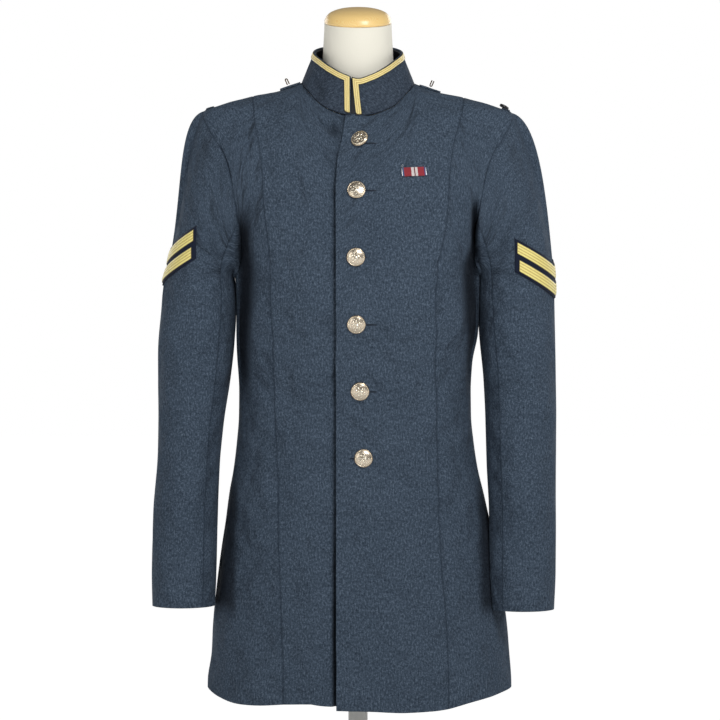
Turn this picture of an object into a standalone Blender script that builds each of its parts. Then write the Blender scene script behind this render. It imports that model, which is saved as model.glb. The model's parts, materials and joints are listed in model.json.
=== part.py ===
"""Band jacket worn by a limbless dress form on a round stand.

The front faces -Y, +Z is up and the floor is z = 0. The wearer's left is +X, which is on the
right of the picture. Tables are in millimetres, with heights measured up from the hem plane.
"""

import math

import bmesh
import bpy
from mathutils import Matrix, Vector

COLLECTION = "band_jacket"
MM = 0.001
HEM_ABOVE_FLOOR = 620.0  # a hip-length tunic on a form set to standing height
WALL = 2.0  # wool cloth with its lining
SEAM_HALF = 0.15  # half of the 0.3 mm left at each seam
LAP_DIP = 3.0  # how far the under front sinks below the upper front
LAP_CLEAR = 4.0  # it is fully down this far out from the upper front's edge
LAP_OVER = 30.0  # and starts to sink this much further out
LAP_TUCK = 0.7  # how far its neckline is tucked up behind the collar, for each mm it sinks
UNDERARM = 533.0
SHOULDER_TILT = 0.006  # the wearer's right shoulder sits this much higher, for each mm across
TILT_FROM = 560.0  # the tilt starts at this height and is full this far above it
TILT_OVER = 140.0
WIDE = 240.0  # reach of the panel map once it is above the chest

# Torso sections: height, half width, centre x, depth to the front, depth to the back
BODY_RINGS = [
    (-20, 197.5, 2.0, 138, 142),
    (10, 197, 2.0, 136, 141),
    (45, 193.2, 3.2, 133, 139),
    (80, 191, 2.6, 130, 136),
    (148, 182.5, 1.0, 122, 129),
    (182, 177.5, 0.5, 118, 125),
    (216, 171.5, -0.5, 115, 120),
    (250, 165.5, -2.0, 111, 112),
    (283, 158.5, -3.0, 108, 104),
    (320, 153.5, -3.6, 106, 96),
    (351, 150.8, -3.9, 105.5, 92.5),
    (385, 150.4, -3.9, 107.5, 92),
    (420, 152.4, -4.0, 112, 95),
    (460, 157, -1.0, 119, 102),
    (500, 158.2, 0.0, 124.5, 107),
    (533, 159.5, 0.0, 127, 110),
    (561, 166, 0.0, 127, 112.5),
    (584, 174, 0.0, 125, 114),
    (613, 186, 0.0, 120, 115),
    (645, 200, 0.0, 110.5, 113),
    (683, 209, 0.0, 95.5, 106.5),
    (707, 210, 0.0, 83.5, 98.5),
    (728, 207.5, 0.0, 71.5, 89.5),
    (740, 203.5, 0.0, 64, 84),
    (747, 199, 0.0, 57.8, 79.5),
    (752, 184, 0.0, 53.5, 77),
    (758, 166, 0.0, 48.8, 74.5),
    (762.5, 148, 0.0, 45.5, 72.8),
    (766, 135, 0.0, 43.4, 71.6),
    (768.5, 121, 0.0, 41.3, 70.4),
    (771.5, 106, 0.0, 39, 69),
    (776, 92, 0.0, 36, 67),
    (784, 73, 0.0, 32, 64),
    (797, 72, 0.0, 30, 60),
    (820, 70, 0.0, 30, 57),
]
SECTION_POWER = 2.2
# Reach of the panel map: height, width at which its angle is a quarter turn
MAP_WIDTH = [
    (533, 159.5),
    (545, 164.5),
    (561, 175),
    (584, 192),
    (613, 212),
    (645, 230),
    (683, 240),
]
# Armhole, from underarm to shoulder tip: y, height
ARMHOLE_FRONT = [
    (0, 533),
    (-26, 536),
    (-46, 545),
    (-61, 561),
    (-70, 584),
    (-73, 612),
    (-72, 645),
    (-60, 683),
    (-44, 707),
    (-25, 729),
    (-10, 742),
    (0, 747),
]
ARMHOLE_BACK = [
    (0, 533),
    (26, 536),
    (48, 546),
    (65, 563),
    (75, 588),
    (79, 617),
    (79, 648),
    (72, 682),
    (57, 708),
    (35, 729),
    (14, 742),
    (0, 747),
]
ARM_STEPS = len(ARMHOLE_FRONT) - 1
# Neckline, front centre to side to back centre: angle round the neck, height
NECKLINE = [
    (0, 734.5),
    (15, 737),
    (25, 741),
    (37, 747.5),
    (46.6, 755),
    (60.5, 768),
    (90, 784),
    (120, 790),
    (150, 795),
    (180, 797),
]
NECK_HALF_WIDTH = 73.0
NAPE = NECKLINE[-1][1]
# Collar top edge: angle round the neck, height
COLLAR_TOP = [
    (0, 783),
    (17, 788.5),
    (39, 800),
    (60, 812),
    (90, 824),
    (125, 834),
    (180, 842),
]
COLLAR_TOP_HALF_WIDTH = 57.0
COLLAR_TOP_FRONT = 66.0
COLLAR_TOP_BACK = 52.0
COLLAR_TALL = 48.0
COLLAR_COLUMNS = 30
BRAID_EDGE = 1.5  # left bare above and in front of the braid
BRAID_WIDTH = 7.6
BRAID_CORNER = 6.5  # angle from each end of the collar to where its even columns start
COLLAR_LIFT = 0.6  # clear of the faceted neckline below it
COLLAR_ENDS = (-8.2, -3.4)  # angle of the wearer's right end, and of the left end
COLLAR_THICK = 1.8
LINING_OFF = -2.7  # the lining's outer face, inside the collar's
LINING_THICK = 0.8
BRAID_OFF = 0.8
BRAID_THICK = 0.9
BRAID_FOOT = 1.0  # how far the braid's ends stop short of the neck seam
NECK_COLUMNS = 6  # columns of each front that end on the neckline
BACK_NECK_COLUMNS = 5
# Long front seams: height, x
PRINCESS_LEFT = [
    (-15, 114),
    (40, 113.5),
    (104, 110),
    (162, 105.5),
    (240, 102.5),
    (300, 101),
    (400, 99.5),
    (490, 98),
    (520, 99.5),
    (560, 105.5),
    (600, 112),
    (640, 115),
    (680, 118.5),
    (715, 126),
    (740, 133),
    (763, 137),
]
PRINCESS_RIGHT = [
    (-15, -93),
    (40, -94.5),
    (162, -99),
    (220, -101),
    (300, -103),
    (380, -106.5),
    (450, -108.5),
    (500, -110.5),
    (550, -112),
    (590, -116),
    (620, -119.5),
    (660, -121.5),
    (690, -125),
    (720, -131),
    (763, -136),
]
# Free edge of the upper front, and of the under front below it: height, x
UPPER_EDGE = [
    (-15, -27),
    (300, -27.5),
    (540, -27.5),
    (640, -28),
    (680, -25.5),
    (703, -20.5),
    (728, -17),
    (737, -16),
]
UNDER_EDGE = [(-15, 16), (640, 16), (737, 10)]
# Rows of the torso panels up to the underarm
ROWS = [0, 22, 60, 105, 150, 200, 250, 300, 345, 390, 440, 490, 533]
FRONT_COLUMNS = 9
SIDE_COLUMNS = 5
BACK_COLUMNS = 11
HEM_BLEND = 60.0  # height over which an uneven hem straightens out
HEM_SIDE = 2.0
# Hem along each front, from the free edge to the side: x, height
HEM_UPPER = [
    (-27, -13),
    (17, -14),
    (58, -16),
    (104, -14.5),
    (123, -11.5),
    (146, -6.5),
    (168, -3),
    (185, 0.5),
    (199, 2),
]
HEM_UNDER = [
    (16, -8),
    (-41, -8),
    (-56, -5.5),
    (-87, -6.5),
    (-111, -8),
    (-141, -11),
    (-159, -9.5),
    (-172, -6.5),
    (-186, -2),
    (-195, 2),
]

# Sleeves: height, centre x, half width, centre y, half depth
SLEEVE_LEFT = [
    (106, 209.9, 41.0, -50, 44),
    (156, 210.4, 42.9, -45, 47),
    (228, 211.5, 43.0, -33, 51),
    (291, 210.8, 44.7, -21, 55),
    (346, 210.8, 45.8, -12, 58),
    (400, 209.6, 46.9, -6, 60),
    (450, 207, 49, -2, 63),
    (500, 204.8, 50.4, 1, 66),
    (529, 204, 51, 2, 67),
]
SLEEVE_RIGHT = [
    (110, 223.3, 40.0, -46, 44),
    (156, 223.0, 41.5, -40, 47),
    (228, 222.0, 41.6, -29, 51),
    (291, 218.8, 40.4, -19, 54),
    (346, 215.9, 42.5, -11, 57),
    (400, 212.3, 46.9, -6, 60),
    (450, 211, 47.4, -2, 63),
    (500, 208, 46.6, 1, 65),
    (529, 205.8, 46, 2, 66),
]
SLEEVE_ROWS = 14  # below the bicep
CAP_ROWS = 8  # from the bicep up to the armhole
CAP_RISE = 1.16  # how straight the sleeve cap leaves the arm
# How far each sleeve cap leans in as it leaves the arm, and how far it rolls over into its seam
CAP_SHAPES = {"left": (0.09, 0.56), "right": (0.2, 0.57)}
FRONT_SEAM = 3  # armhole points between the underarm and each sleeve seam
BACK_SEAM = 4
BODY_CLEAR = 0.9
CAP_GAP = 0.8  # left at the armhole seam where sleeve and body run on into each other
FOLD_GAP = 1.3  # left under the arm, where the sleeve folds down outside the body

# Chevrons: centre angle, angle to each end, height of the upper bar's point, rise to the ends
CHEVRON_LEFT = (17.0, 72.0, 537.0, 31.0)
CHEVRON_RIGHT = (2.0, 78.0, 554.0, 29.0)
BAR_COLUMNS = 14
BAR_STEP = 22.0
BAR_HEIGHT = 15.5
GROUND_MARGIN = 3.6
GROUND_REACH = 3.5  # degrees that the dark ground runs past the bars at each end
GROUND_OFF = 0.6
BAR_OFF = 2.0
PATCH_THICK = 0.9

# Buttons down the front: x, height
BUTTONS = [(3.5, 702), (-1.9, 637), (-2.6, 552.5), (-2.0, 468.5), (2.6, 384.5), (7.0, 300.5)]
BUTTON_RADIUS = 11.6
BUTTON_OFF = 0.6
TOP_BUTTON_OFF = 3.0  # the top button stands off and tips towards its hole
TOP_BUTTON_TIP = (-0.25, 0.0, 0.2)

# Ribbon bar: x and height of its middle, width and height
RIBBON_PLACE = (70.5, 661.0)
RIBBON_SIZE = (32.0, 12.0)
RIBBON_TURN = math.radians(6)
RIBBON_OFF = 0.5
RIBBON_THICK = 1.8

# Bands over the shoulders: name, side, x of both ends, half length, lift, thickness
SHOULDER_STRIPS = [
    ("shoulder_tab_left", 1, 81, 107, 13, 1.2, 1.6),
    ("shoulder_tab_right", -1, 76, 101, 13, 1.8, 1.8),
    ("shoulder_loop_left", 1, 187, 197, 15, 1.0, 0.9),
    ("shoulder_loop_right", -1, 187, 197, 15, 0.6, 0.9),
]
STRIP_OFF = 0.8
STRIP_SPREAD = 0.55  # how far a band's ends turn out to the front and back
# Brass wires by the collar: name, x of the foot, height off the cloth, lean, open at the top
PINS = [
    ("shoulder_pin_left", 94.0, 4.4, 0.45, True),
    ("shoulder_pin_right", -90.5, 5.0, -0.45, False),
]
PIN_RADIUS = 0.75
PIN_WIDTH = 4.2
PIN_LENGTH = 8.6
SHANK_BUTTON_X = 176.0
SHANK_BUTTON_AXIS = (0.42, -0.12, 1.0)
SHANK_BUTTON = [
    (0, 6.5),
    (3.5, 6.3),
    (6.3, 5.6),
    (6.8, 4.4),
    (6.0, 3.4),
    (1.6, 3.2),
    (1.6, 0),
    (0, 0),
]

# Dress form: height, half width, depth to the front, depth to the back, power of the section
FORM_RINGS = [
    (150, 140, 82, 96, 2.2),
    (158, 156, 94, 108, 2.2),
    (205, 156, 98, 108, 2.2),
    (269, 144, 95, 92, 2.2),
    (336, 137, 92, 79, 2.2),
    (390, 136, 95, 80, 2.2),
    (455, 143, 105, 89, 2.2),
    (500, 144, 110, 94, 2.2),
    (545, 145, 113, 97, 2.2),
    (590, 147, 110, 99, 2.2),
    (630, 152, 101, 97, 2.2),
    (665, 160, 88, 91, 2.2),
    (695, 167, 76, 83, 2.1),
    (718, 170, 64, 74, 2.0),
    (733, 166, 54, 66, 1.9),
    (742, 155, 47, 60, 1.8),
    (749, 136, 43, 56, 1.7),
    (756, 112, 41, 53, 1.6),
    (764, 88, 41, 51, 1.6),
    (774, 67, 42, 48, 1.7),
    (788, 54, 43.5, 46, 1.9),
    (806, 47, 44, 45, 2.0),
    (840, 44.5, 44, 44, 2.0),
    (862, 43.5, 43.5, 43.5, 2.0),
]
FORM_COLUMNS = 28
NECK_FORWARD = 5.0  # the neck leans this far to the front at its top
CAP_TILT = math.radians(15)
NECK_BEND = 770.0  # height at which the form's neck starts to lean
# Neck cap: radius, height
CAP_PROFILE = [
    (0, 20.2),
    (12.0, 19.8),
    (25.0, 17.9),
    (35.5, 14.0),
    (41.0, 9.0),
    (43.2, 4.4),
    (43.6, 1.6),
    (42.0, 0),
    (0, 0),
]
POLE_RADIUS = 12.5
# Round base: radius, height
BASE_PROFILE = [
    (0, 14),
    (160, 14),
    (167, 12),
    (170, 8),
    (170, 2),
    (168, 0),
    (0, 0),
]
STAND_GAP = 0.3

# Colours as linear values: red, green, blue, with roughness and metallic
FINISHES = {
    "wool": ((0.050, 0.070, 0.098), 0.92, 0.0),
    "wool_collar": ((0.040, 0.054, 0.078), 0.92, 0.0),
    "navy": ((0.016, 0.022, 0.042), 0.95, 0.0),
    "lining": ((0.010, 0.012, 0.018), 0.8, 0.0),
    "braid": ((0.72, 0.56, 0.22), 0.55, 0.0),
    "button": ((0.78, 0.68, 0.46), 0.28, 1.0),
    "ribbon": ((0.45, 0.030, 0.045), 0.6, 0.0),
    "brass": ((0.62, 0.45, 0.20), 0.35, 1.0),
    "black": ((0.010, 0.010, 0.011), 0.3, 0.0),
    "linen": ((0.80, 0.78, 0.68), 0.9, 0.0),
    "maple": ((0.80, 0.52, 0.24), 0.3, 0.0),
    "white": ((0.86, 0.86, 0.86), 0.35, 0.0),
}


def smooth(points):
    """A monotone cubic through (at, value) pairs, held level past both ends."""
    points = sorted(points)
    xs = [p[0] for p in points]
    ys = [p[1] for p in points]
    rates = [(ys[i + 1] - ys[i]) / (xs[i + 1] - xs[i]) for i in range(len(xs) - 1)]
    slopes = [rates[0]]
    for before, after in zip(rates, rates[1:]):
        slopes.append(2 * before * after / (before + after) if before * after > 0 else 0.0)
    slopes.append(rates[-1])

    def value(at):
        if at <= xs[0]:
            return ys[0]
        if at >= xs[-1]:
            return ys[-1]
        low, high = 0, len(xs) - 1
        while high - low > 1:
            middle = (low + high) // 2
            if xs[middle] <= at:
                low = middle
            else:
                high = middle
        span = xs[high] - xs[low]
        t = (at - xs[low]) / span
        return (
            ys[low] * (1 + 2 * t) * (1 - t) ** 2
            + slopes[low] * span * t * (1 - t) ** 2
            + ys[high] * t * t * (3 - 2 * t)
            - slopes[high] * span * t * t * (1 - t)
        )

    return value


def column(table, index):
    """A smooth curve of one column of a table against its first column."""
    return smooth([(row[0], row[index]) for row in table])


half_width, centre_x, depth_front, depth_back = [column(BODY_RINGS, i) for i in (1, 2, 3, 4)]
map_above = smooth(MAP_WIDTH)
upper_edge = smooth(UPPER_EDGE)
neck_height = smooth(NECKLINE + [(-a, z) for a, z in NECKLINE[1:3]])
collar_height = smooth(COLLAR_TOP + [(-a, z) for a, z in COLLAR_TOP[1:3]])
SHOULDER = smooth([(row[1], row[0]) for row in BODY_RINGS if 747 <= row[0] <= 784])
TIP_X = 199.0  # the shoulder tip, where the shoulder seam meets the armhole
NECK_SLOPE = 0.42  # the shoulder line is carried on up at this slope inside the neck
MAP_FLOOR = -40.0


def shoulder_height(x):
    """Height of the shoulder line at a distance x from the middle."""
    if x < NECK_HALF_WIDTH:
        return 784.0 + NECK_SLOPE * (NECK_HALF_WIDTH - x)
    return SHOULDER(x)


def map_width(height):
    return half_width(height) if height <= UNDERARM else map_above(height)


def body_depth(x, height, back):
    """y of the torso's outer surface at x from the section's centre."""
    share = min(1.0, abs(x) / half_width(height))
    depth = (1 - share**SECTION_POWER) ** (1 / SECTION_POWER)
    return depth_back(height) * depth if back else -depth_front(height) * depth


def body_half_width(y, height):
    """Distance from the section's centre to the outer surface at y."""
    depth = depth_back(height) if y > 0 else depth_front(height)
    share = min(1.0, abs(y) / depth)
    return half_width(height) * (1 - share**SECTION_POWER) ** (1 / SECTION_POWER)


def rise(x, height):
    """The panel map's upward coordinate, 1 on the shoulder line."""
    top = shoulder_height(abs(x))
    return 1 - math.sqrt(max(0.0, top - height) / (top - MAP_FLOOR))


def to_map(x, height, back):
    """(angle, rise) of a point given by its x from the section's centre and its height."""
    angle = math.asin(max(-1.0, min(1.0, x / map_width(height))))
    if back:
        angle = math.copysign(math.pi, angle) - angle
    return angle, rise(x, height)


def from_map(angle, up):
    """The point on the torso's outer surface at a place in the panel map."""
    x = 0.0
    height = 300.0
    for _ in range(14):
        top = shoulder_height(abs(x))
        height = top - (top - MAP_FLOOR) * (1 - up) ** 2
        x = map_width(height) * math.sin(angle)
    back = abs(angle) > math.pi / 2
    return Vector((x + centre_x(height), body_depth(x, height, back), height))


def body_normal(angle, up):
    """The outward normal of the torso at a place in the panel map."""
    step = 0.004
    if up > 1 - 2 * step:
        x = from_map(angle, 1.0).x
        slope = (shoulder_height(abs(x) + 1) - shoulder_height(abs(x) - 1)) / 2
        return Vector((math.copysign(-slope, x), 0, 1)).normalized()
    across = from_map(angle + step, up) - from_map(angle - step, up)
    upward = from_map(angle, up + step) - from_map(angle, up - step)
    return across.cross(upward).normalized()


def finish(name):
    """The material of one named finish."""
    found = bpy.data.materials.get(name)
    if found:
        return found
    colour, roughness, metallic = FINISHES[name]
    material = bpy.data.materials.new(name)
    material.use_nodes = True
    shader = material.node_tree.nodes["Principled BSDF"]
    shader.inputs["Base Color"].default_value = (*colour, 1.0)
    shader.inputs["Roughness"].default_value = roughness
    shader.inputs["Metallic"].default_value = metallic
    return material


def settle(point):
    """Metres from the floor for a point in millimetres above the hem, with the shoulders' tilt."""
    x, y, z = point
    t = max(0.0, min(1.0, (z - TILT_FROM) / TILT_OVER))
    z -= SHOULDER_TILT * x * t * t * (3 - 2 * t)
    return Vector((x, y, z + HEM_ABOVE_FLOOR)) * MM


def link(name, shape, material):
    """Put one named object into the part's collection."""
    shape.materials.append(finish(material))
    part = bpy.data.objects.new(name, shape)
    bpy.data.collections[COLLECTION].objects.link(part)
    return part


def add(name, points, faces, material):
    """Make one object from points in millimetres above the hem."""
    mesh = bpy.data.meshes.new(name)
    mesh.from_pydata([settle(point) for point in points], [], faces)
    mesh.validate()
    shell = bmesh.new()
    shell.from_mesh(mesh)
    bmesh.ops.recalc_face_normals(shell, faces=shell.faces)
    shell.to_mesh(mesh)
    shell.free()
    return link(name, mesh, material)


def turned(name, profile, centre, axis, material, steps):
    """A turned solid. profile holds (radius, height) down its outer side, from axis to axis."""
    mesh = bpy.data.meshes.new(name)
    points = [(radius * MM, 0.0, height * MM) for radius, height in profile]
    mesh.from_pydata(points, [(i, i + 1) for i in range(len(points) - 1)], [])
    part = link(name, mesh, material)
    screw = part.modifiers.new("Turn", "SCREW")
    screw.axis = "Z"
    screw.steps = steps
    screw.render_steps = steps
    screw.use_merge_vertices = True
    screw.merge_threshold = 0.0001
    turn = Vector((0, 0, 1)).rotation_difference(Vector(axis))
    part.matrix_world = Matrix.Translation(settle(centre)) @ turn.to_matrix().to_4x4()
    return part


def wire(name, path, radius, material):
    """A round wire bent through points in millimetres above the hem."""
    curve = bpy.data.curves.new(name, "CURVE")
    curve.dimensions = "3D"
    curve.bevel_depth = radius * MM
    curve.bevel_resolution = 2
    curve.use_fill_caps = True
    spline = curve.splines.new("POLY")
    spline.points.add(len(path) - 1)
    for slot, point in zip(spline.points, path):
        slot.co = (*settle(point), 1.0)
    return link(name, curve, material)


def wall(name, outer, inner, material, closed=False):
    """A solid between two grids of points, rows upward and columns across."""
    rows, columns = len(outer), len(outer[0])
    points = [p for row in outer for p in row] + [p for row in inner for p in row]
    deep = rows * columns
    spans = columns if closed else columns - 1
    faces = []
    for j in range(rows - 1):
        for i in range(spans):
            k = (i + 1) % columns
            a, b = j * columns + i, j * columns + k
            c, d = (j + 1) * columns + k, (j + 1) * columns + i
            faces.append((a, b, c, d))
            faces.append((deep + d, deep + c, deep + b, deep + a))
    for i in range(spans):
        k = (i + 1) % columns
        faces.append((deep + i, deep + k, k, i))
        top = (rows - 1) * columns
        faces.append((top + i, top + k, deep + top + k, deep + top + i))
    if not closed:
        for j in range(rows - 1):
            a, d = j * columns, (j + 1) * columns
            faces.append((a, d, deep + d, deep + a))
            b, c = a + columns - 1, d + columns - 1
            faces.append((deep + b, deep + c, c, b))
    return add(name, points, faces, material)


def thicken(outer, normals, thickness):
    """The grid that lies a wall's thickness inside another."""
    return [
        [p - n * thickness for p, n in zip(points, directions)]
        for points, directions in zip(outer, normals)
    ]


def draw_in(points, sides):
    """Move the open edges of a grid inward by half of a seam gap."""
    rows, columns = len(points), len(points[0])
    moved = [list(row) for row in points]

    def pull(j, i, next_j, next_i, along):
        away = points[next_j][next_i] - points[j][i]
        away -= along * away.dot(along)
        if away.length > 1e-6:
            moved[j][i] = moved[j][i] + away.normalized() * SEAM_HALF

    for j in range(rows):
        low, high = max(0, j - 1), min(rows - 1, j + 1)
        if "left" in sides:
            pull(j, 0, j, 1, (points[high][0] - points[low][0]).normalized())
        if "right" in sides:
            along = (points[high][-1] - points[low][-1]).normalized()
            pull(j, columns - 1, j, columns - 2, along)
    if "top" in sides:
        for i in range(columns):
            low, high = max(0, i - 1), min(columns - 1, i + 1)
            along = (points[-1][high] - points[-1][low]).normalized()
            pull(rows - 1, i, rows - 2, i, along)
    return moved


def row_share(j):
    """0 at and below the underarm row, then 1 at the top row."""
    return max(0.0, (j - (len(ROWS) - 1)) / ARM_STEPS)


def seam(path, top, power, hem):
    """Map places up a front seam given as x against height, one for each row."""
    line = smooth(path)
    places = []
    for j in range(len(ROWS) + ARM_STEPS):
        if j < len(ROWS):
            height = ROWS[j] + hem * max(0.0, 1 - ROWS[j] / HEM_BLEND)
        else:
            height = top - (top - UNDERARM) * (1 - row_share(j)) ** power
        places.append(to_map(line(height) - centre_x(height), height, False))
    return places


def arm_seam(points, hem, side, back):
    """Map places up the side seam and then round the armhole to the shoulder tip."""
    places = []
    for j in range(len(ROWS)):
        height = ROWS[j] + hem * max(0.0, 1 - ROWS[j] / HEM_BLEND)
        places.append((side * math.pi / 2, rise(half_width(height), height)))
    for y, height in points[1:]:
        x = side * body_half_width(y, height)
        places.append(to_map(x, height, back))
    return places


def panel_map(first, last, bottom, top, columns):
    """Fill in the map between two seams, a hem and a top edge."""
    rows = len(first)
    places = []
    for j in range(rows):
        low = max(0.0, 1 - ROWS[j] / HEM_BLEND) if j < len(ROWS) else 0.0
        high = row_share(j) ** 2
        row = []
        for i in range(columns + 1):
            t = i / columns
            place = []
            for axis in (0, 1):
                value = (1 - t) * first[j][axis] + t * last[j][axis]
                lift = bottom[i][axis] - (1 - t) * first[0][axis] - t * last[0][axis]
                drop = top[i][axis] - (1 - t) * first[-1][axis] - t * last[-1][axis]
                place.append(value + low * lift + high * drop)
            row.append(tuple(place))
        places.append(row)
    return places


def lap_dip(point):
    """How far the under front sinks at a point of the torso's surface."""
    full = upper_edge(point.z) - LAP_CLEAR
    t = max(0.0, min(1.0, (point.x - full + LAP_OVER) / LAP_OVER))
    return LAP_DIP * t * t * (3 - 2 * t)


def panel(name, places, edges, dip=None):
    """Cut one torso panel from its places in the map."""
    outer = [[from_map(*place) for place in row] for row in places]
    normals = [[body_normal(*place) for place in row] for row in places]
    if dip:
        for j, row in enumerate(outer):
            for i, point in enumerate(row):
                sunk = dip(point)
                outer[j][i] = point - normals[j][i] * sunk
                if j == len(outer) - 1:
                    outer[j][i].z += sunk * LAP_TUCK
    outer = draw_in(outer, edges)
    return wall(name, outer, thicken(outer, normals, WALL), "wool")


def neck_point(angle):
    """A point of the neckline, at an angle in degrees from the front centre."""
    x = NECK_HALF_WIDTH * math.sin(math.radians(angle))
    height = neck_height(abs(angle))
    return Vector((x, body_depth(x, height, abs(angle) > 90), height))


def front_neck_angles(side):
    """Angles round the neck of one front's neckline points, from its free edge outward."""
    edge = UPPER_EDGE if side > 0 else UNDER_EDGE
    start = math.degrees(math.asin(edge[-1][1] / NECK_HALF_WIDTH))
    span = side * 90 - start
    return [start + span * (i / NECK_COLUMNS) ** 0.9 for i in range(NECK_COLUMNS + 1)]


def back_neck_angles():
    return [90 + 90 * i / BACK_NECK_COLUMNS for i in range(BACK_NECK_COLUMNS + 1)]


def panel_neckline():
    """Angles of all the points that the panels' necklines are drawn straight between."""
    left = front_neck_angles(1)
    right = [angle for angle in front_neck_angles(-1) if angle < left[0] - 1]
    back = back_neck_angles()[1:]
    return sorted(left + right + back + [-angle for angle in back])


NECK_STEPS = panel_neckline()


def neck_edge(angle):
    """The point of the panels' straight neckline edges at an angle round the neck."""
    high = next(k for k in range(1, len(NECK_STEPS)) if angle <= NECK_STEPS[k] + 1e-6)
    low = high - 1
    t = (angle - NECK_STEPS[low]) / (NECK_STEPS[high] - NECK_STEPS[low])
    return neck_point(NECK_STEPS[low]).lerp(neck_point(NECK_STEPS[high]), t)


def hem_places(table, first, last, columns):
    """Map places along a hem between two seams."""
    line = smooth(table)
    places = []
    for i in range(columns + 1):
        t = i / columns
        angle = (1 - t) * first[0][0] + t * last[0][0]
        height = 0.0
        for _ in range(4):
            height = line(half_width(height) * math.sin(angle) + centre_x(height))
        x = half_width(height) * math.sin(angle)
        places.append((angle, rise(x, height)))
    return places


def build_front(side):
    """One front and its side front. side is 1 for the wearer's left."""
    columns = FRONT_COLUMNS
    name = "left" if side > 0 else "right"
    path = PRINCESS_LEFT if side > 0 else PRINCESS_RIGHT
    hem = HEM_UPPER if side > 0 else HEM_UNDER
    line = smooth(hem)
    edge = UPPER_EDGE if side > 0 else UNDER_EDGE
    neck_angles = front_neck_angles(side)
    free = seam(edge, neck_height(abs(neck_angles[0])), 1.3, line(edge[0][1]))
    long_seam = seam(path, shoulder_height(abs(path[-1][1])), 2, line(path[0][1]))
    long_seam[-1] = (long_seam[-1][0], 1.0)
    bottom = hem_places(hem, free, long_seam, columns)
    top = []
    for i in range(columns + 1):
        if i < NECK_COLUMNS:
            point = neck_point(neck_angles[i])
            top.append(to_map(point.x, point.z, False))
        else:
            t = (i - NECK_COLUMNS) / (columns - NECK_COLUMNS)
            x = side * NECK_HALF_WIDTH * (1 - t) + path[-1][1] * t
            top.append((math.asin(x / WIDE), 1.0))
    top[-1] = long_seam[-1]
    places = panel_map(free, long_seam, bottom, top, columns)
    panel(f"front_{name}", places, ("right", "top"), None if side > 0 else lap_dip)

    arm = arm_seam(ARMHOLE_FRONT, HEM_SIDE, side, False)
    bottom = hem_places(hem, long_seam, arm, SIDE_COLUMNS)
    top = []
    for i in range(SIDE_COLUMNS + 1):
        x = path[-1][1] + (side * TIP_X - path[-1][1]) * i / SIDE_COLUMNS
        top.append((math.asin(x / WIDE), 1.0))
    top[0] = long_seam[-1]
    top[-1] = arm[-1]
    places = panel_map(long_seam, arm, bottom, top, SIDE_COLUMNS)
    panel(f"side_front_{name}", places, ("left", "right", "top"))


def build_back(side):
    """One back, from the side seam to the centre back seam."""
    columns = BACK_COLUMNS
    name = "left" if side > 0 else "right"
    arm = arm_seam(ARMHOLE_BACK, HEM_SIDE, side, True)
    centre = []
    for j in range(len(ROWS) + ARM_STEPS):
        if j < len(ROWS):
            height = ROWS[j] + HEM_SIDE * max(0.0, 1 - ROWS[j] / HEM_BLEND)
        else:
            height = NAPE - (NAPE - UNDERARM) * (1 - row_share(j)) ** 1.3
        centre.append((side * math.pi, rise(0, height)))
    bottom = []
    for i in range(columns + 1):
        angle = side * (math.pi / 2 + math.pi / 2 * i / columns)
        x = half_width(HEM_SIDE) * math.sin(angle)
        bottom.append((angle, rise(x, HEM_SIDE)))
    neck_angles = back_neck_angles()
    shoulder_columns = columns - BACK_NECK_COLUMNS
    top = []
    for i in range(columns + 1):
        if i <= shoulder_columns:
            x = TIP_X + (NECK_HALF_WIDTH - TIP_X) * i / shoulder_columns
            top.append((side * (math.pi - math.asin(x / WIDE)), 1.0))
        else:
            point = neck_point(neck_angles[i - shoulder_columns])
            angle, up = to_map(point.x, point.z, True)
            top.append((side * angle, up))
    top[0] = arm[-1]
    top[-1] = centre[-1]
    places = panel_map(arm, centre, bottom, top, columns)
    panel(f"back_{name}", places, ("left", "right", "top"))


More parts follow.
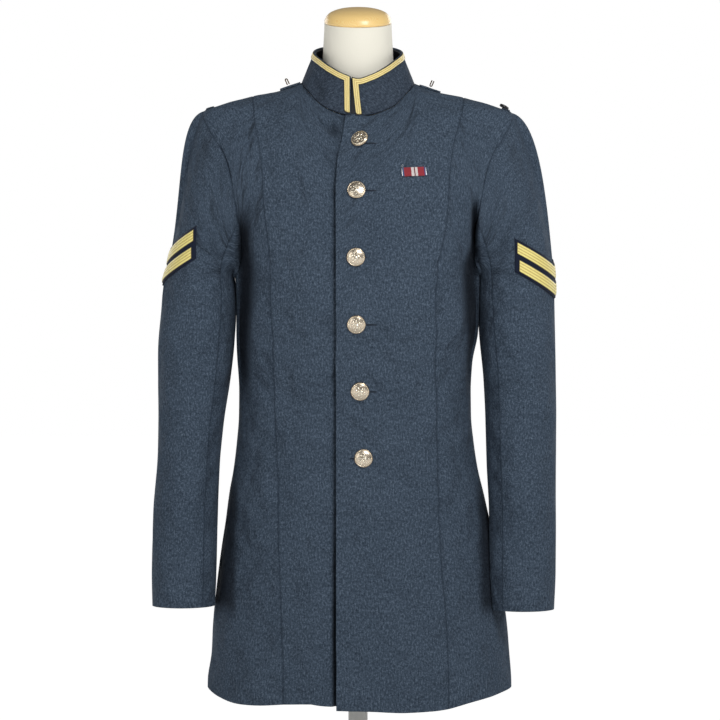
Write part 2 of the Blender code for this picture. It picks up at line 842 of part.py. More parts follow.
class Sleeve:
    """A two-piece set-in sleeve, its points worked out from sections and the armhole."""

    def __init__(self, side, table, lean, roll):
        self.side = side
        self.lean = lean
        self.roll = roll
        self.name = "left" if side > 0 else "right"
        self.cuff = table[0][0]
        self.bicep = table[-1][0]
        self.centre_x, self.half_width, self.centre_y, self.half_depth = [
            column(table, i) for i in (1, 2, 3, 4)
        ]
        self.loop = self.make_loop()

    def make_loop(self):
        """Armhole points from the underarm by the front and the tip, and back again."""
        loop = []
        front = [(y, z, False) for y, z in ARMHOLE_FRONT]
        back = [(y, z, True) for y, z in ARMHOLE_BACK[-2:0:-1]]
        for y, height, behind in front + back:
            x = body_half_width(y, height)
            if (y, height) == ARMHOLE_FRONT[-1]:
                x = TIP_X
                place = (self.side * math.asin(x / WIDE), 1.0)
            else:
                place = to_map(self.side * x, height, behind)
            loop.append((Vector((self.side * x, y, height)), body_normal(*place)))
        return loop

    def section(self, angle, height):
        """A point of the sleeve below the bicep. 0 degrees is outward and 90 is the front."""
        turn = math.radians(angle)
        x = self.centre_x(height) + self.half_width(height) * math.cos(turn)
        y = self.centre_y(height) - self.half_depth(height) * math.sin(turn)
        body = centre_x(height) * self.side + body_half_width(y, height) + BODY_CLEAR
        x = max(x, body)
        return Vector((self.side * x, y, height))

    def loop_at(self, angle):
        """The armhole point, its inward direction and its weight at a sleeve angle."""
        count = len(self.loop)
        place = ((180 - angle) % 360) / 360 * count
        low = int(place) % count
        t = place - int(place)
        high = (low + 1) % count
        before, after = self.loop[low - 1][0], self.loop[(high + 1) % count][0]
        point = self.loop[low][0].lerp(self.loop[high][0], t)
        normal = self.loop[low][1].lerp(self.loop[high][1], t).normalized()
        along = ((after - self.loop[low][0]) * t + (self.loop[high][0] - before) * (1 - t))
        inward = normal.cross(along.normalized()) * self.side
        return point, inward.normalized(), normal

    def cap(self, angle, t):
        """A point of the sleeve cap, from the bicep at t = 0 to the armhole at t = 1."""
        start = self.section(angle, self.bicep)
        end, inward, normal = self.loop_at(angle)
        facing = math.cos(math.radians(angle) / 2) ** 2
        reach = (end - start).length
        lean = -self.lean * self.side * max(0.0, math.cos(math.radians(angle)))
        leave = Vector((lean, 0, 1)) * reach * CAP_RISE
        roll = (inward * facing**0.6 + Vector((0, 0, 1)) * (1 - facing**0.6)).normalized()
        arrive = roll * reach * self.roll
        end = end - inward * CAP_GAP * facing + normal * FOLD_GAP * (1 - facing)
        point = (
            start * ((1 + 2 * t) * (1 - t) ** 2)
            + leave * (t * (1 - t) ** 2)
            + end * (t * t * (3 - 2 * t))
            - arrive * (t * t * (1 - t))
        )
        if t < 1 and point.z < 600 and abs(angle % 360 - 180) < 80:
            body = body_half_width(point.y, point.z) + BODY_CLEAR
            if abs(point.x) < body and point.z < end.z:
                point.x = self.side * body
        return point

    def point(self, angle, up):
        """A point of the sleeve: up runs from 0 at the cuff to 1 at the bicep and 2 above."""
        if up <= 1:
            return self.section(angle, self.cuff + (self.bicep - self.cuff) * up)
        return self.cap(angle, up - 1)

    def normal(self, angle, up):
        low, high = max(0.0, up - 0.01), min(2.0, up + 0.01)
        if low < 1 < high:
            low, high = (low, 1.0) if up <= 1 else (1.0, high)
        across = self.point(angle + 1.5, up) - self.point(angle - 1.5, up)
        upward = self.point(angle, high) - self.point(angle, low)
        outward = (upward.cross(across) * self.side).normalized()
        if up > 1.999:
            # The wall's end face lies along the armhole seam, as the body's does
            facing = math.cos(math.radians(angle) / 2) ** 2
            outward = outward.lerp(self.loop_at(angle)[2], facing).normalized()
        return outward

    def at_height(self, angle, height):
        """The sleeve's own coordinate of a height at one angle."""
        if height <= self.bicep:
            return (height - self.cuff) / (self.bicep - self.cuff)
        low, high = 1.0, 1.9
        for _ in range(24):
            middle = (low + high) / 2
            if self.cap(angle, middle - 1).z < height:
                low = middle
            else:
                high = middle
        return low

    def piece(self, name, first, last):
        """Cut one piece of the sleeve between two armhole points."""
        count = len(self.loop)
        ups = [j / SLEEVE_ROWS for j in range(SLEEVE_ROWS + 1)]
        ups += [1 + j / CAP_ROWS for j in range(1, CAP_ROWS + 1)]
        angles = [180 - 360 * k / count for k in range(first, last + 1)]
        outer = [[self.point(angle, up) for angle in angles] for up in ups]
        normals = [[self.normal(angle, up) for angle in angles] for up in ups]
        outer = draw_in(outer, ("left", "right"))
        wall(name, outer, thicken(outer, normals, WALL), "wool")

    def build(self):
        count = len(self.loop)
        self.piece(f"top_sleeve_{self.name}", FRONT_SEAM, count - BACK_SEAM)
        self.piece(f"under_sleeve_{self.name}", -BACK_SEAM, FRONT_SEAM)

    def patch(self, name, lines, off, material):
        """A patch that lies on the sleeve. lines hold (angle, height) from bottom to top."""
        outer, inner = [], []
        for line in lines:
            tops, bottoms = [], []
            for angle, height in line:
                up = self.at_height(angle, height)
                point, normal = self.point(angle, up), self.normal(angle, up)
                tops.append(point + normal * (off + PATCH_THICK))
                bottoms.append(point + normal * off)
            outer.append(tops)
            inner.append(bottoms)
        wall(name, outer, inner, material)

    def chevrons(self, centre, reach, height, lift):
        """A dark ground with two bars whose points hang down at the outside of the arm."""
        shares = [2 * i / BAR_COLUMNS - 1 for i in range(BAR_COLUMNS + 1)]

        def line(base, extra):
            wide = reach + extra
            return [(centre + wide * s, base + lift * abs(s) * wide / reach) for s in shares]

        upper = (height - BAR_HEIGHT / 2, height + BAR_HEIGHT / 2)
        lower = (upper[0] - BAR_STEP, upper[1] - BAR_STEP)
        bottom, top = lower[0] - GROUND_MARGIN, upper[1] + GROUND_MARGIN
        lines = [line(bottom + (top - bottom) * i / 4, GROUND_REACH) for i in range(5)]
        self.patch(f"chevron_ground_{self.name}", lines, GROUND_OFF, "navy")
        for label, bar in (("upper", upper), ("lower", lower)):
            lines = [line(base, 0.0) for base in (bar[0], sum(bar) / 2, bar[1])]
            self.patch(f"chevron_{label}_{self.name}", lines, BAR_OFF, "braid")


def collar_point(angle, share):
    """A point of the collar: share is 0 at the neck seam and 1 at the top edge."""
    turn = math.radians(angle)
    base = neck_edge(angle)
    depth = COLLAR_TOP_FRONT if abs(angle) < 90 else COLLAR_TOP_BACK
    top = Vector(
        (
            COLLAR_TOP_HALF_WIDTH * math.sin(turn),
            -depth * math.cos(turn),
            collar_height(abs(angle)),
        )
    )
    base.z += COLLAR_LIFT
    return base.lerp(top, share)


def collar_normal(angle, share):
    across = collar_point(angle + 1, share) - collar_point(angle - 1, share)
    upward = collar_point(angle, 1) - collar_point(angle, 0)
    return across.cross(upward).normalized()


def collar_angle(angle):
    """Angles run past 180 degrees round the back, so bring one into range."""
    return angle - 360 if angle > 180 else angle


def collar_strip(name, angles, shares, off, thickness, material):
    outer, inner = [], []
    for share in shares:
        tops, bottoms = [], []
        for angle in angles:
            at = collar_angle(angle)
            point, normal = collar_point(at, share), collar_normal(at, share)
            tops.append(point + normal * off)
            bottoms.append(point + normal * (off - thickness))
        outer.append(tops)
        inner.append(bottoms)
    return wall(name, outer, inner, material)


def braid_turn(millimetres, down):
    """Degrees round the collar that a distance takes up, at a depth below its top edge."""
    share = 1 - down / COLLAR_TALL
    reach = NECK_HALF_WIDTH + (COLLAR_TOP_HALF_WIDTH - NECK_HALF_WIDTH) * share
    return math.degrees(millimetres / reach)


def braid_rails(left_end, right_end, run):
    """The braid's outer and inner edges: angle round the collar, depth below its top edge."""
    edge, inside = BRAID_EDGE, BRAID_EDGE + BRAID_WIDTH
    foot = COLLAR_TALL - BRAID_FOOT
    # Depths of both edges down a front end: at the foot, half way and at the corner
    ends = [(foot, foot), (foot / 2, foot / 2 + 4), (edge, inside)]
    outer, inner = [], []
    for down, inner_down in ends:
        outer.append((left_end + braid_turn(edge, down), down))
        inner.append((left_end + braid_turn(inside, inner_down), inner_down))
    spare = braid_turn(inside, inside) + 2.0
    for angle in run:
        outer.append((angle, edge))
        inner.append((min(max(angle, left_end + spare), right_end - spare), inside))
    for down, inner_down in reversed(ends):
        outer.append((right_end - braid_turn(edge, down), down))
        inner.append((right_end - braid_turn(inside, inner_down), inner_down))
    return inner, outer


def build_collar():
    """The stand band, its lining and the braid round its top and front edges."""
    left_end = COLLAR_ENDS[1]
    right_end = 360 + COLLAR_ENDS[0]
    first, last = left_end + BRAID_CORNER, right_end - BRAID_CORNER
    run = [first + (last - first) * i / COLLAR_COLUMNS for i in range(COLLAR_COLUMNS + 1)]
    angles = [left_end, *run, right_end]
    collar_strip("collar", angles, (0.0, 0.5, 1.0), 0.0, COLLAR_THICK, "wool_collar")
    inner = [left_end + 1, *run, right_end - 1]
    collar_strip("collar_lining", inner, (0.06, 0.5, 0.97), LINING_OFF, LINING_THICK, "lining")
    tops, bottoms = [], []
    for rail in braid_rails(left_end, right_end, run):
        top_row, bottom_row = [], []
        for angle, down in rail:
            at = collar_angle(angle)
            length = (collar_point(at, 1) - collar_point(at, 0)).length
            share = max(0.02, 1 - down / length)
            point, normal = collar_point(at, share), collar_normal(at, share)
            top_row.append(point + normal * (BRAID_OFF + BRAID_THICK))
            bottom_row.append(point + normal * BRAID_OFF)
        tops.append(top_row)
        bottoms.append(bottom_row)
    wall("collar_braid", tops, bottoms, "braid")


def chest_place(x, height):
    """Surface point and normal of the torso's front at an x and a height."""
    place = to_map(x - centre_x(height), height, False)
    return from_map(*place), body_normal(*place)


def build_buttons():
    """Domed metal buttons with a rolled rim, sewn down the upper front."""
    r = BUTTON_RADIUS
    # Radius and height, from the top of the dome to the flat back
    profile = [
        (0, 5.0),
        (r * 0.4, 4.6),
        (r * 0.75, 3.4),
        (r * 0.96, 2.1),
        (r, 1.1),
        (r * 0.88, 0),
        (0, 0),
    ]
    for i, (x, height) in enumerate(BUTTONS):
        point, normal = chest_place(x, height)
        off = BUTTON_OFF
        if i == 0:
            normal = (normal + Vector(TOP_BUTTON_TIP)).normalized()
            off = TOP_BUTTON_OFF
        turned(f"button_{i + 1}", profile, point + normal * off, normal, "button", 16)


def build_ribbon():
    """A striped ribbon on a metal bar, pinned flat to the wearer's left chest."""
    outer, inner = [], []
    for j in range(2):
        tops, bottoms = [], []
        for i in range(5):
            u, v = RIBBON_SIZE[0] * (i / 4 - 0.5), RIBBON_SIZE[1] * (j - 0.5)
            x = RIBBON_PLACE[0] + u * math.cos(RIBBON_TURN) - v * math.sin(RIBBON_TURN)
            height = RIBBON_PLACE[1] + u * math.sin(RIBBON_TURN) + v * math.cos(RIBBON_TURN)
            point, normal = chest_place(x, height)
            tops.append(point + normal * (RIBBON_OFF + RIBBON_THICK))
            bottoms.append(point + normal * RIBBON_OFF)
        outer.append(tops)
        inner.append(bottoms)
    wall("ribbon_bar", outer, inner, "ribbon")


def on_shoulder(x, y, off):
    """A point over the shoulder line at x and y, raised off the cloth."""
    low, high = 600.0, shoulder_height(abs(x))
    for _ in range(30):
        middle = (low + high) / 2
        reach = abs(body_depth(x, middle, y > 0))
        if reach > abs(y):
            low = middle
        else:
            high = middle
    return Vector((x, y, low + off))


def shoulder_strip(name, side, first, last, half, lift, thickness):
    """A small band over the shoulder, flat at its ends and raised in the middle."""
    outer, inner = [], []
    steps = 8
    for k in range(3):
        x = side * (first + (last - first) * k / 2)
        tops, bottoms = [], []
        for i in range(steps + 1):
            s = 2 * i / steps - 1
            off = STRIP_OFF + lift * (1 - s * s)
            base = on_shoulder(x, half * s, 0)
            outward = Vector((0, s * STRIP_SPREAD, 1)).normalized()
            tops.append(base + outward * (off + thickness))
            bottoms.append(base + outward * off)
        outer.append(tops)
        inner.append(bottoms)
    wall(name, outer, inner, "wool")


def bent_pin(name, x, off, lean, open_top):
    """A brass wire bent into a U, standing on its bend or on its two ends."""
    foot = on_shoulder(x, -1.0, off)
    axis = Vector((lean, 0, 1)).normalized()
    across = Vector((axis.z, 0, -axis.x))
    half = PIN_WIDTH / 2 - PIN_RADIUS
    path = [(-half, PIN_LENGTH)]
    steps = 6
    for i in range(steps + 1):
        turn = math.pi * i / steps
        path.append((-half * math.cos(turn), PIN_RADIUS + half - half * math.sin(turn)))
    path.append((half, PIN_LENGTH))
    if not open_top:
        path = [(a, PIN_LENGTH - b) for a, b in path]
    wire(name, [foot + across * a + axis * b for a, b in path], PIN_RADIUS, "brass")


def build_shoulder_trim():
    """Tabs and brass wires beside the collar, carrier loops and a button at the ends."""
    for strip in SHOULDER_STRIPS:
        shoulder_strip(*strip)
    for pin in PINS:
        bent_pin(*pin)
    base = on_shoulder(SHANK_BUTTON_X, -1.0, 0.6)
    turned("shoulder_button", SHANK_BUTTON, base, SHANK_BUTTON_AXIS, "black", 14)


def form_ring(height, wide, front, back, power):
    """One ring of the dress form, the last one cut to the neck cap's tilt."""
    forward = NECK_FORWARD * max(0.0, (height - NECK_BEND) / (FORM_RINGS[-1][0] - NECK_BEND))
    ring = []
    for i in range(FORM_COLUMNS):
        turn = 2 * math.pi * i / FORM_COLUMNS
        s, c = math.sin(turn), math.cos(turn)
        x = wide * math.copysign(abs(s) ** (2 / power), s)
        depth = front if c > 0 else back
        y = -depth * math.copysign(abs(c) ** (2 / power), c) - forward
        z = height
        if height == FORM_RINGS[-1][0]:
            z += y * math.tan(CAP_TILT)
        ring.append(Vector((x, y, z)))
    return ring


def build_form():
    """The dress form: linen torso and neck, wooden neck cap, pole and round base."""
    rings = [form_ring(*row) for row in FORM_RINGS]
    count = FORM_COLUMNS
    points = [point for ring in rings for point in ring]
    faces = [tuple(range(count)), tuple(range(len(points) - count, len(points)))]
    for j in range(len(rings) - 1):
        for i in range(count):
            k = (i + 1) % count
            a, b = j * count, (j + 1) * count
            faces.append((a + i, a + k, b + k, b + i))
    add("form_body", points, faces, "linen")

    axis = Vector((0, -math.sin(CAP_TILT), math.cos(CAP_TILT)))
    neck_top = FORM_RINGS[-1][0] - NECK_FORWARD * math.tan(CAP_TILT)
    centre = Vector((0, -NECK_FORWARD, neck_top)) + axis * STAND_GAP
    turned("form_cap", CAP_PROFILE, centre, axis, "maple", 26)

    floor = Vector((0, 0, -HEM_ABOVE_FLOOR))
    foot = BASE_PROFILE[0][1] + STAND_GAP
    top = HEM_ABOVE_FLOOR + FORM_RINGS[0][0] - STAND_GAP
    pole = [(0, top), (POLE_RADIUS, top), (POLE_RADIUS, foot), (0, foot)]
    turned("form_pole", pole, floor, (0, 0, 1), "white", 24)
    turned("form_base", BASE_PROFILE, floor, (0, 0, 1), "white", 40)


def main():
    for old in list(bpy.data.objects):
        bpy.data.objects.remove(old)
    bpy.context.scene.collection.children.link(bpy.data.collections.new(COLLECTION))
    for side in (1, -1):
        build_front(side)
        build_back(side)
    for side, table, chevron in ((1, SLEEVE_LEFT, CHEVRON_LEFT), (-1, SLEEVE_RIGHT, CHEVRON_RIGHT)):
        sleeve = Sleeve(side, table, *CAP_SHAPES["left" if side > 0 else "right"])
        sleeve.build()
        sleeve.chevrons(*chevron)
    build_collar()
    build_buttons()
    build_ribbon()
    build_shoulder_trim()
    build_form()


if __name__ == "__main__":
    main()
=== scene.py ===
"""Looks for the band jacket: wool cloth, braid, buttons and the dress form that it hangs on.

Sizes are millimetres above the hem plane, as a tailor would note them, and become metres above
the floor when a piece is handed over. The wearer's left is +X and the front faces -Y.
"""

import json
import logging
import math
from dataclasses import dataclass, field
from enum import Enum
from typing import Optional, Sequence

import bmesh
import bpy
import numpy as np
from mathutils import Matrix, Vector

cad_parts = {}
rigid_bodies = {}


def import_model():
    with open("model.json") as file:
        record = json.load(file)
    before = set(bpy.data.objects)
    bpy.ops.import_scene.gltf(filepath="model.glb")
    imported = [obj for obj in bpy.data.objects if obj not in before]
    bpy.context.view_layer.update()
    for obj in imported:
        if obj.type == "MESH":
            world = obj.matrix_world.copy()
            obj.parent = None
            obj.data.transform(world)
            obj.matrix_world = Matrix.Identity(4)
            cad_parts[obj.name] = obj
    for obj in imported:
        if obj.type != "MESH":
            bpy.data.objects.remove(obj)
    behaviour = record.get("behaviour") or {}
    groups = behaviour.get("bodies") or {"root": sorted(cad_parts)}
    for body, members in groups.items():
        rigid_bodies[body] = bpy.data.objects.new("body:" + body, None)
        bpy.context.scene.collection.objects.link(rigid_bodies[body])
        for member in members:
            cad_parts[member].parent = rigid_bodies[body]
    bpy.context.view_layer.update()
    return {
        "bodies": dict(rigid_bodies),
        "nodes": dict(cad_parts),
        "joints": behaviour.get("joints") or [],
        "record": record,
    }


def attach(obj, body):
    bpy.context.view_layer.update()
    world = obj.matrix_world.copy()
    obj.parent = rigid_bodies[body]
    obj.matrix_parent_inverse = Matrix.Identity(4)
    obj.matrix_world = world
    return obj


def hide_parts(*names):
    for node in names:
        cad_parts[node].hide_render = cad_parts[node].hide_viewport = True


log = logging.getLogger("band_jacket")

MM = 0.001
HEM_ABOVE_FLOOR = 620.0
SHOULDER_TILT = 0.006
TILT_FROM = 560.0
TILT_OVER = 140.0
WOOL = 2.0
SEAM_ROLL = 1.8
SEAM_REACH = 2.0
LEAST_FILL = 0.31
LEAST_FLAT = 0.0101
CUT_ENDS = (0.02, 0.06, 0.12)
UP = Vector((0, 0, 1))
Array = np.ndarray
Piece, Mesh, Material = bpy.types.Object, bpy.types.Mesh, bpy.types.Material
Node, Socket = bpy.types.Node, bpy.types.NodeSocket
Table = Sequence[Sequence[float]]


def ease(t: Array) -> Array:
    """A smooth step from 0 to 1."""
    t = np.clip(t, 0.0, 1.0)
    return t * t * (3 - 2 * t)


def blend(first: Array, last: Array, t: Array) -> Array:
    """The way from first to last, straight."""
    return first * (1 - t) + last * t


def hermite(t: Array, start: Array, leave: Array, end: Array, arrive: Array) -> Array:
    """A cubic from start to end, from the speeds at which it leaves and arrives."""
    ends = start * (1 + 2 * t) * (1 - t) ** 2 + end * t * t * (3 - 2 * t)
    return ends + leave * t * (1 - t) ** 2 - arrive * t * t * (1 - t)


def spot_of_shade(x: Array, width: float, y: Array, tall: float) -> Array:
    """A soft oval spot, 1 in its middle."""
    return np.exp(-((x / width) ** 2) - (y / tall) ** 2)


def unit(vectors: Array) -> Array:
    """Vectors of length 1 along the last axis."""
    return vectors / np.maximum(np.linalg.norm(vectors, axis=-1, keepdims=True), 1e-9)


class Curve:
    """A monotone cubic through a table's points, held level past both ends."""

    def __init__(self, table: Table, column: int = 1) -> None:
        """Read one column of a table, in any order, against its first column."""
        rows = sorted(table)
        self.xs = np.array([row[0] for row in rows], float)
        self.ys = np.array([row[column] for row in rows], float)
        rates = np.diff(self.ys) / np.diff(self.xs)
        inner = [2 * a * b / (a + b) if a * b > 0 else 0.0 for a, b in zip(rates, rates[1:])]
        self.slopes = np.array([rates[0], *inner, rates[-1]])

    def __call__(self, at: Array) -> Array:
        """The curve's value at one or many places."""
        at = np.clip(at, self.xs[0], self.xs[-1])
        low = np.clip(np.searchsorted(self.xs, at, side="right") - 1, 0, len(self.xs) - 2)
        span = self.xs[low + 1] - self.xs[low]
        leave, arrive = self.slopes[low] * span, self.slopes[low + 1] * span
        return hermite((at - self.xs[low]) / span, self.ys[low], leave, self.ys[low + 1], arrive)


def between(values: Array, at: Array, breaks: Sequence[int] = ()) -> Array:
    """Read a table of rows at fractional indices, smooth within each stretch between breaks.

    Args:
        values: Rows along the first axis.
        at: Fractional row indices.
        breaks: Indices of rows where the direction may change sharply.

    Returns:
        One interpolated row for each index.
    """
    out = np.zeros((len(at), *values.shape[1:]))
    stops = [0, *breaks, len(values) - 1]
    for first, last in zip(stops, stops[1:]):
        part = values[first : last + 1]
        slopes = np.gradient(part, axis=0)
        here = (at >= first - 1e-9) & (at <= last + 1e-9)
        place = np.clip(at[here] - first, 0, last - first)
        low = np.minimum(place.astype(int), last - first - 1)
        t = (place - low).reshape(-1, *[1] * (values.ndim - 1))
        out[here] = hermite(t, part[low], slopes[low], part[low + 1], slopes[low + 1])
    return out


def finer_index(cells: int, parts: int, ends: Sequence[float]) -> Array:
    """Fractional indices over a row of cells, with more of them close to both ends."""
    inner, close = np.arange(cells * parts + 1) / parts, np.array(ends)
    return np.sort(np.concatenate([inner, close, cells - close]))


def settle(points: Array) -> Array:
    """Metres above the floor for points in millimetres above the hem, with the shoulders' tilt."""
    moved = np.array(points, float)
    drop = SHOULDER_TILT * moved[..., 0] * ease((moved[..., 2] - TILT_FROM) / TILT_OVER)
    moved[..., 2] += HEM_ABOVE_FLOOR - drop
    return moved * MM


def add(name: str, data: bpy.types.ID) -> Piece:
    """Put a new object with its data into the scene."""
    piece = bpy.data.objects.new(name, data)
    bpy.context.scene.collection.objects.link(piece)
    return piece


def new_piece(name: str, points: Array, faces: list) -> Piece:
    """Make a smooth object from points in millimetres above the hem, its faces turned outward.

    Args:
        name: The new object's name.
        points: Its points.
        faces: The points of each face.

    Returns:
        The new object, at the origin.
    """
    mesh = bpy.data.meshes.new(name)
    mesh.from_pydata(settle(points).tolist(), [], faces)
    tidy = bmesh.new()
    tidy.from_mesh(mesh)
    bmesh.ops.recalc_face_normals(tidy, faces=tidy.faces)
    tidy.to_mesh(mesh)
    tidy.free()
    mesh.shade_smooth()
    return add(name, mesh)


def spots_of(mesh: Mesh) -> Array:
    """The mesh's own points."""
    spots = np.zeros(len(mesh.vertices) * 3)
    mesh.vertices.foreach_get("co", spots)
    return spots.reshape(-1, 3)


def store(mesh: Mesh, name: str, values: Array) -> None:
    """Store a value at each point, for a finish to read."""
    mesh.attributes.new(name, "FLOAT", "POINT").data.foreach_set("value", values.astype(np.float32).ravel())


def unwrap(mesh: Mesh, flat: Array) -> None:
    """Fill the UV map "cloth" with each point's place on the flat cloth, in metres."""
    corners = np.zeros(len(mesh.loops), np.int32)
    mesh.loops.foreach_get("vertex_index", corners)
    layer = mesh.uv_layers.get("cloth") or mesh.uv_layers.new(name="cloth")
    layer.data.foreach_set("uv", flat[corners].astype(np.float32).ravel())


# Torso sections: height, half width, centre x, depth to the front, depth to the back
BODY_RINGS = (
    (-20, 197.5, 2.0, 138, 142), (10, 197, 2.0, 136, 141), (45, 193.2, 3.2, 133, 139),
    (80, 191, 2.6, 130, 136), (148, 182.5, 1.0, 122, 129), (182, 177.5, 0.5, 118, 125),
    (216, 171.5, -0.5, 115, 120), (250, 165.5, -2.0, 111, 112), (283, 158.5, -3.0, 108, 104),
    (320, 153.5, -3.6, 106, 96), (351, 150.8, -3.9, 105.5, 92.5), (385, 150.4, -3.9, 107.5, 92),
    (420, 152.4, -4.0, 112, 95), (460, 157, -1.0, 119, 102), (500, 158.2, 0.0, 124.5, 107),
    (533, 159.5, 0.0, 127, 110), (561, 166, 0.0, 127, 112.5), (584, 174, 0.0, 125, 114),
    (613, 186, 0.0, 120, 115), (645, 200, 0.0, 110.5, 113), (683, 209, 0.0, 95.5, 106.5),
    (707, 210, 0.0, 83.5, 98.5), (728, 207.5, 0.0, 71.5, 89.5), (740, 203.5, 0.0, 64, 84),
    (747, 199, 0.0, 57.8, 79.5), (752, 184, 0.0, 53.5, 77), (758, 166, 0.0, 48.8, 74.5),
    (762.5, 148, 0.0, 45.5, 72.8), (766, 135, 0.0, 43.4, 71.6), (768.5, 121, 0.0, 41.3, 70.4),
    (771.5, 106, 0.0, 39, 69), (776, 92, 0.0, 36, 67), (784, 73, 0.0, 32, 64), (797, 72, 0.0, 30, 60),
    (820, 70, 0.0, 30, 57),
)
# Reach of the panel map: height, width at which its angle is a quarter turn
MAP_WIDTH = ((533, 159.5), (545, 164.5), (561, 175), (584, 192), (613, 212), (645, 230), (683, 240))
# Armhole, from underarm to shoulder tip: y, height
ARMHOLE_FRONT = (
    (0, 533), (-26, 536), (-46, 545), (-61, 561), (-70, 584), (-73, 612), (-72, 645), (-60, 683),
    (-44, 707), (-25, 729), (-10, 742), (0, 747),
)
ARMHOLE_BACK = (
    (0, 533), (26, 536), (48, 546), (65, 563), (75, 588), (79, 617), (79, 648), (72, 682), (57, 708),
    (35, 729), (14, 742), (0, 747),
)
# Neckline, front centre to side to back centre: angle round the neck, height
NECKLINE = (
    (0, 734.5), (15, 737), (25, 741), (37, 747.5), (46.6, 755), (60.5, 768), (90, 784), (120, 790),
    (150, 795), (180, 797),
)
# Long front seams: height, x
PRINCESS_LEFT = (
    (-15, 114), (40, 113.5), (104, 110), (162, 105.5), (240, 102.5), (300, 101), (400, 99.5), (490, 98),
    (520, 99.5), (560, 105.5), (600, 112), (640, 115), (680, 118.5), (715, 126), (740, 133), (763, 137),
)
PRINCESS_RIGHT = (
    (-15, -93), (40, -94.5), (162, -99), (220, -101), (300, -103), (380, -106.5), (450, -108.5),
    (500, -110.5), (550, -112), (590, -116), (620, -119.5), (660, -121.5), (690, -125), (720, -131),
    (763, -136),
)
# Free edge of the upper front, and of the under front below it: height, x
UPPER_EDGE = (
    (-15, -27), (300, -27.5), (540, -27.5), (640, -28), (680, -25.5), (703, -20.5), (728, -17), (737, -16),
)
UNDER_EDGE = ((-15, 16), (640, 16), (737, 10))
# Hem along each front, from the free edge to the side: x, height
HEM_UPPER = (
    (-27, -13), (17, -14), (58, -16), (104, -14.5), (123, -11.5), (146, -6.5), (168, -3), (185, 0.5),
    (199, 2),
)
HEM_UNDER = (
    (16, -8), (-41, -8), (-56, -5.5), (-87, -6.5), (-111, -8), (-141, -11), (-159, -9.5), (-172, -6.5),
    (-186, -2), (-195, 2),
)
ROWS = (0, 22, 60, 105, 150, 200, 250, 300, 345, 390, 440, 490, 533)
SHOULDER_ROWS = tuple((row[1], row[0]) for row in BODY_RINGS if 747 <= row[0] <= 784)


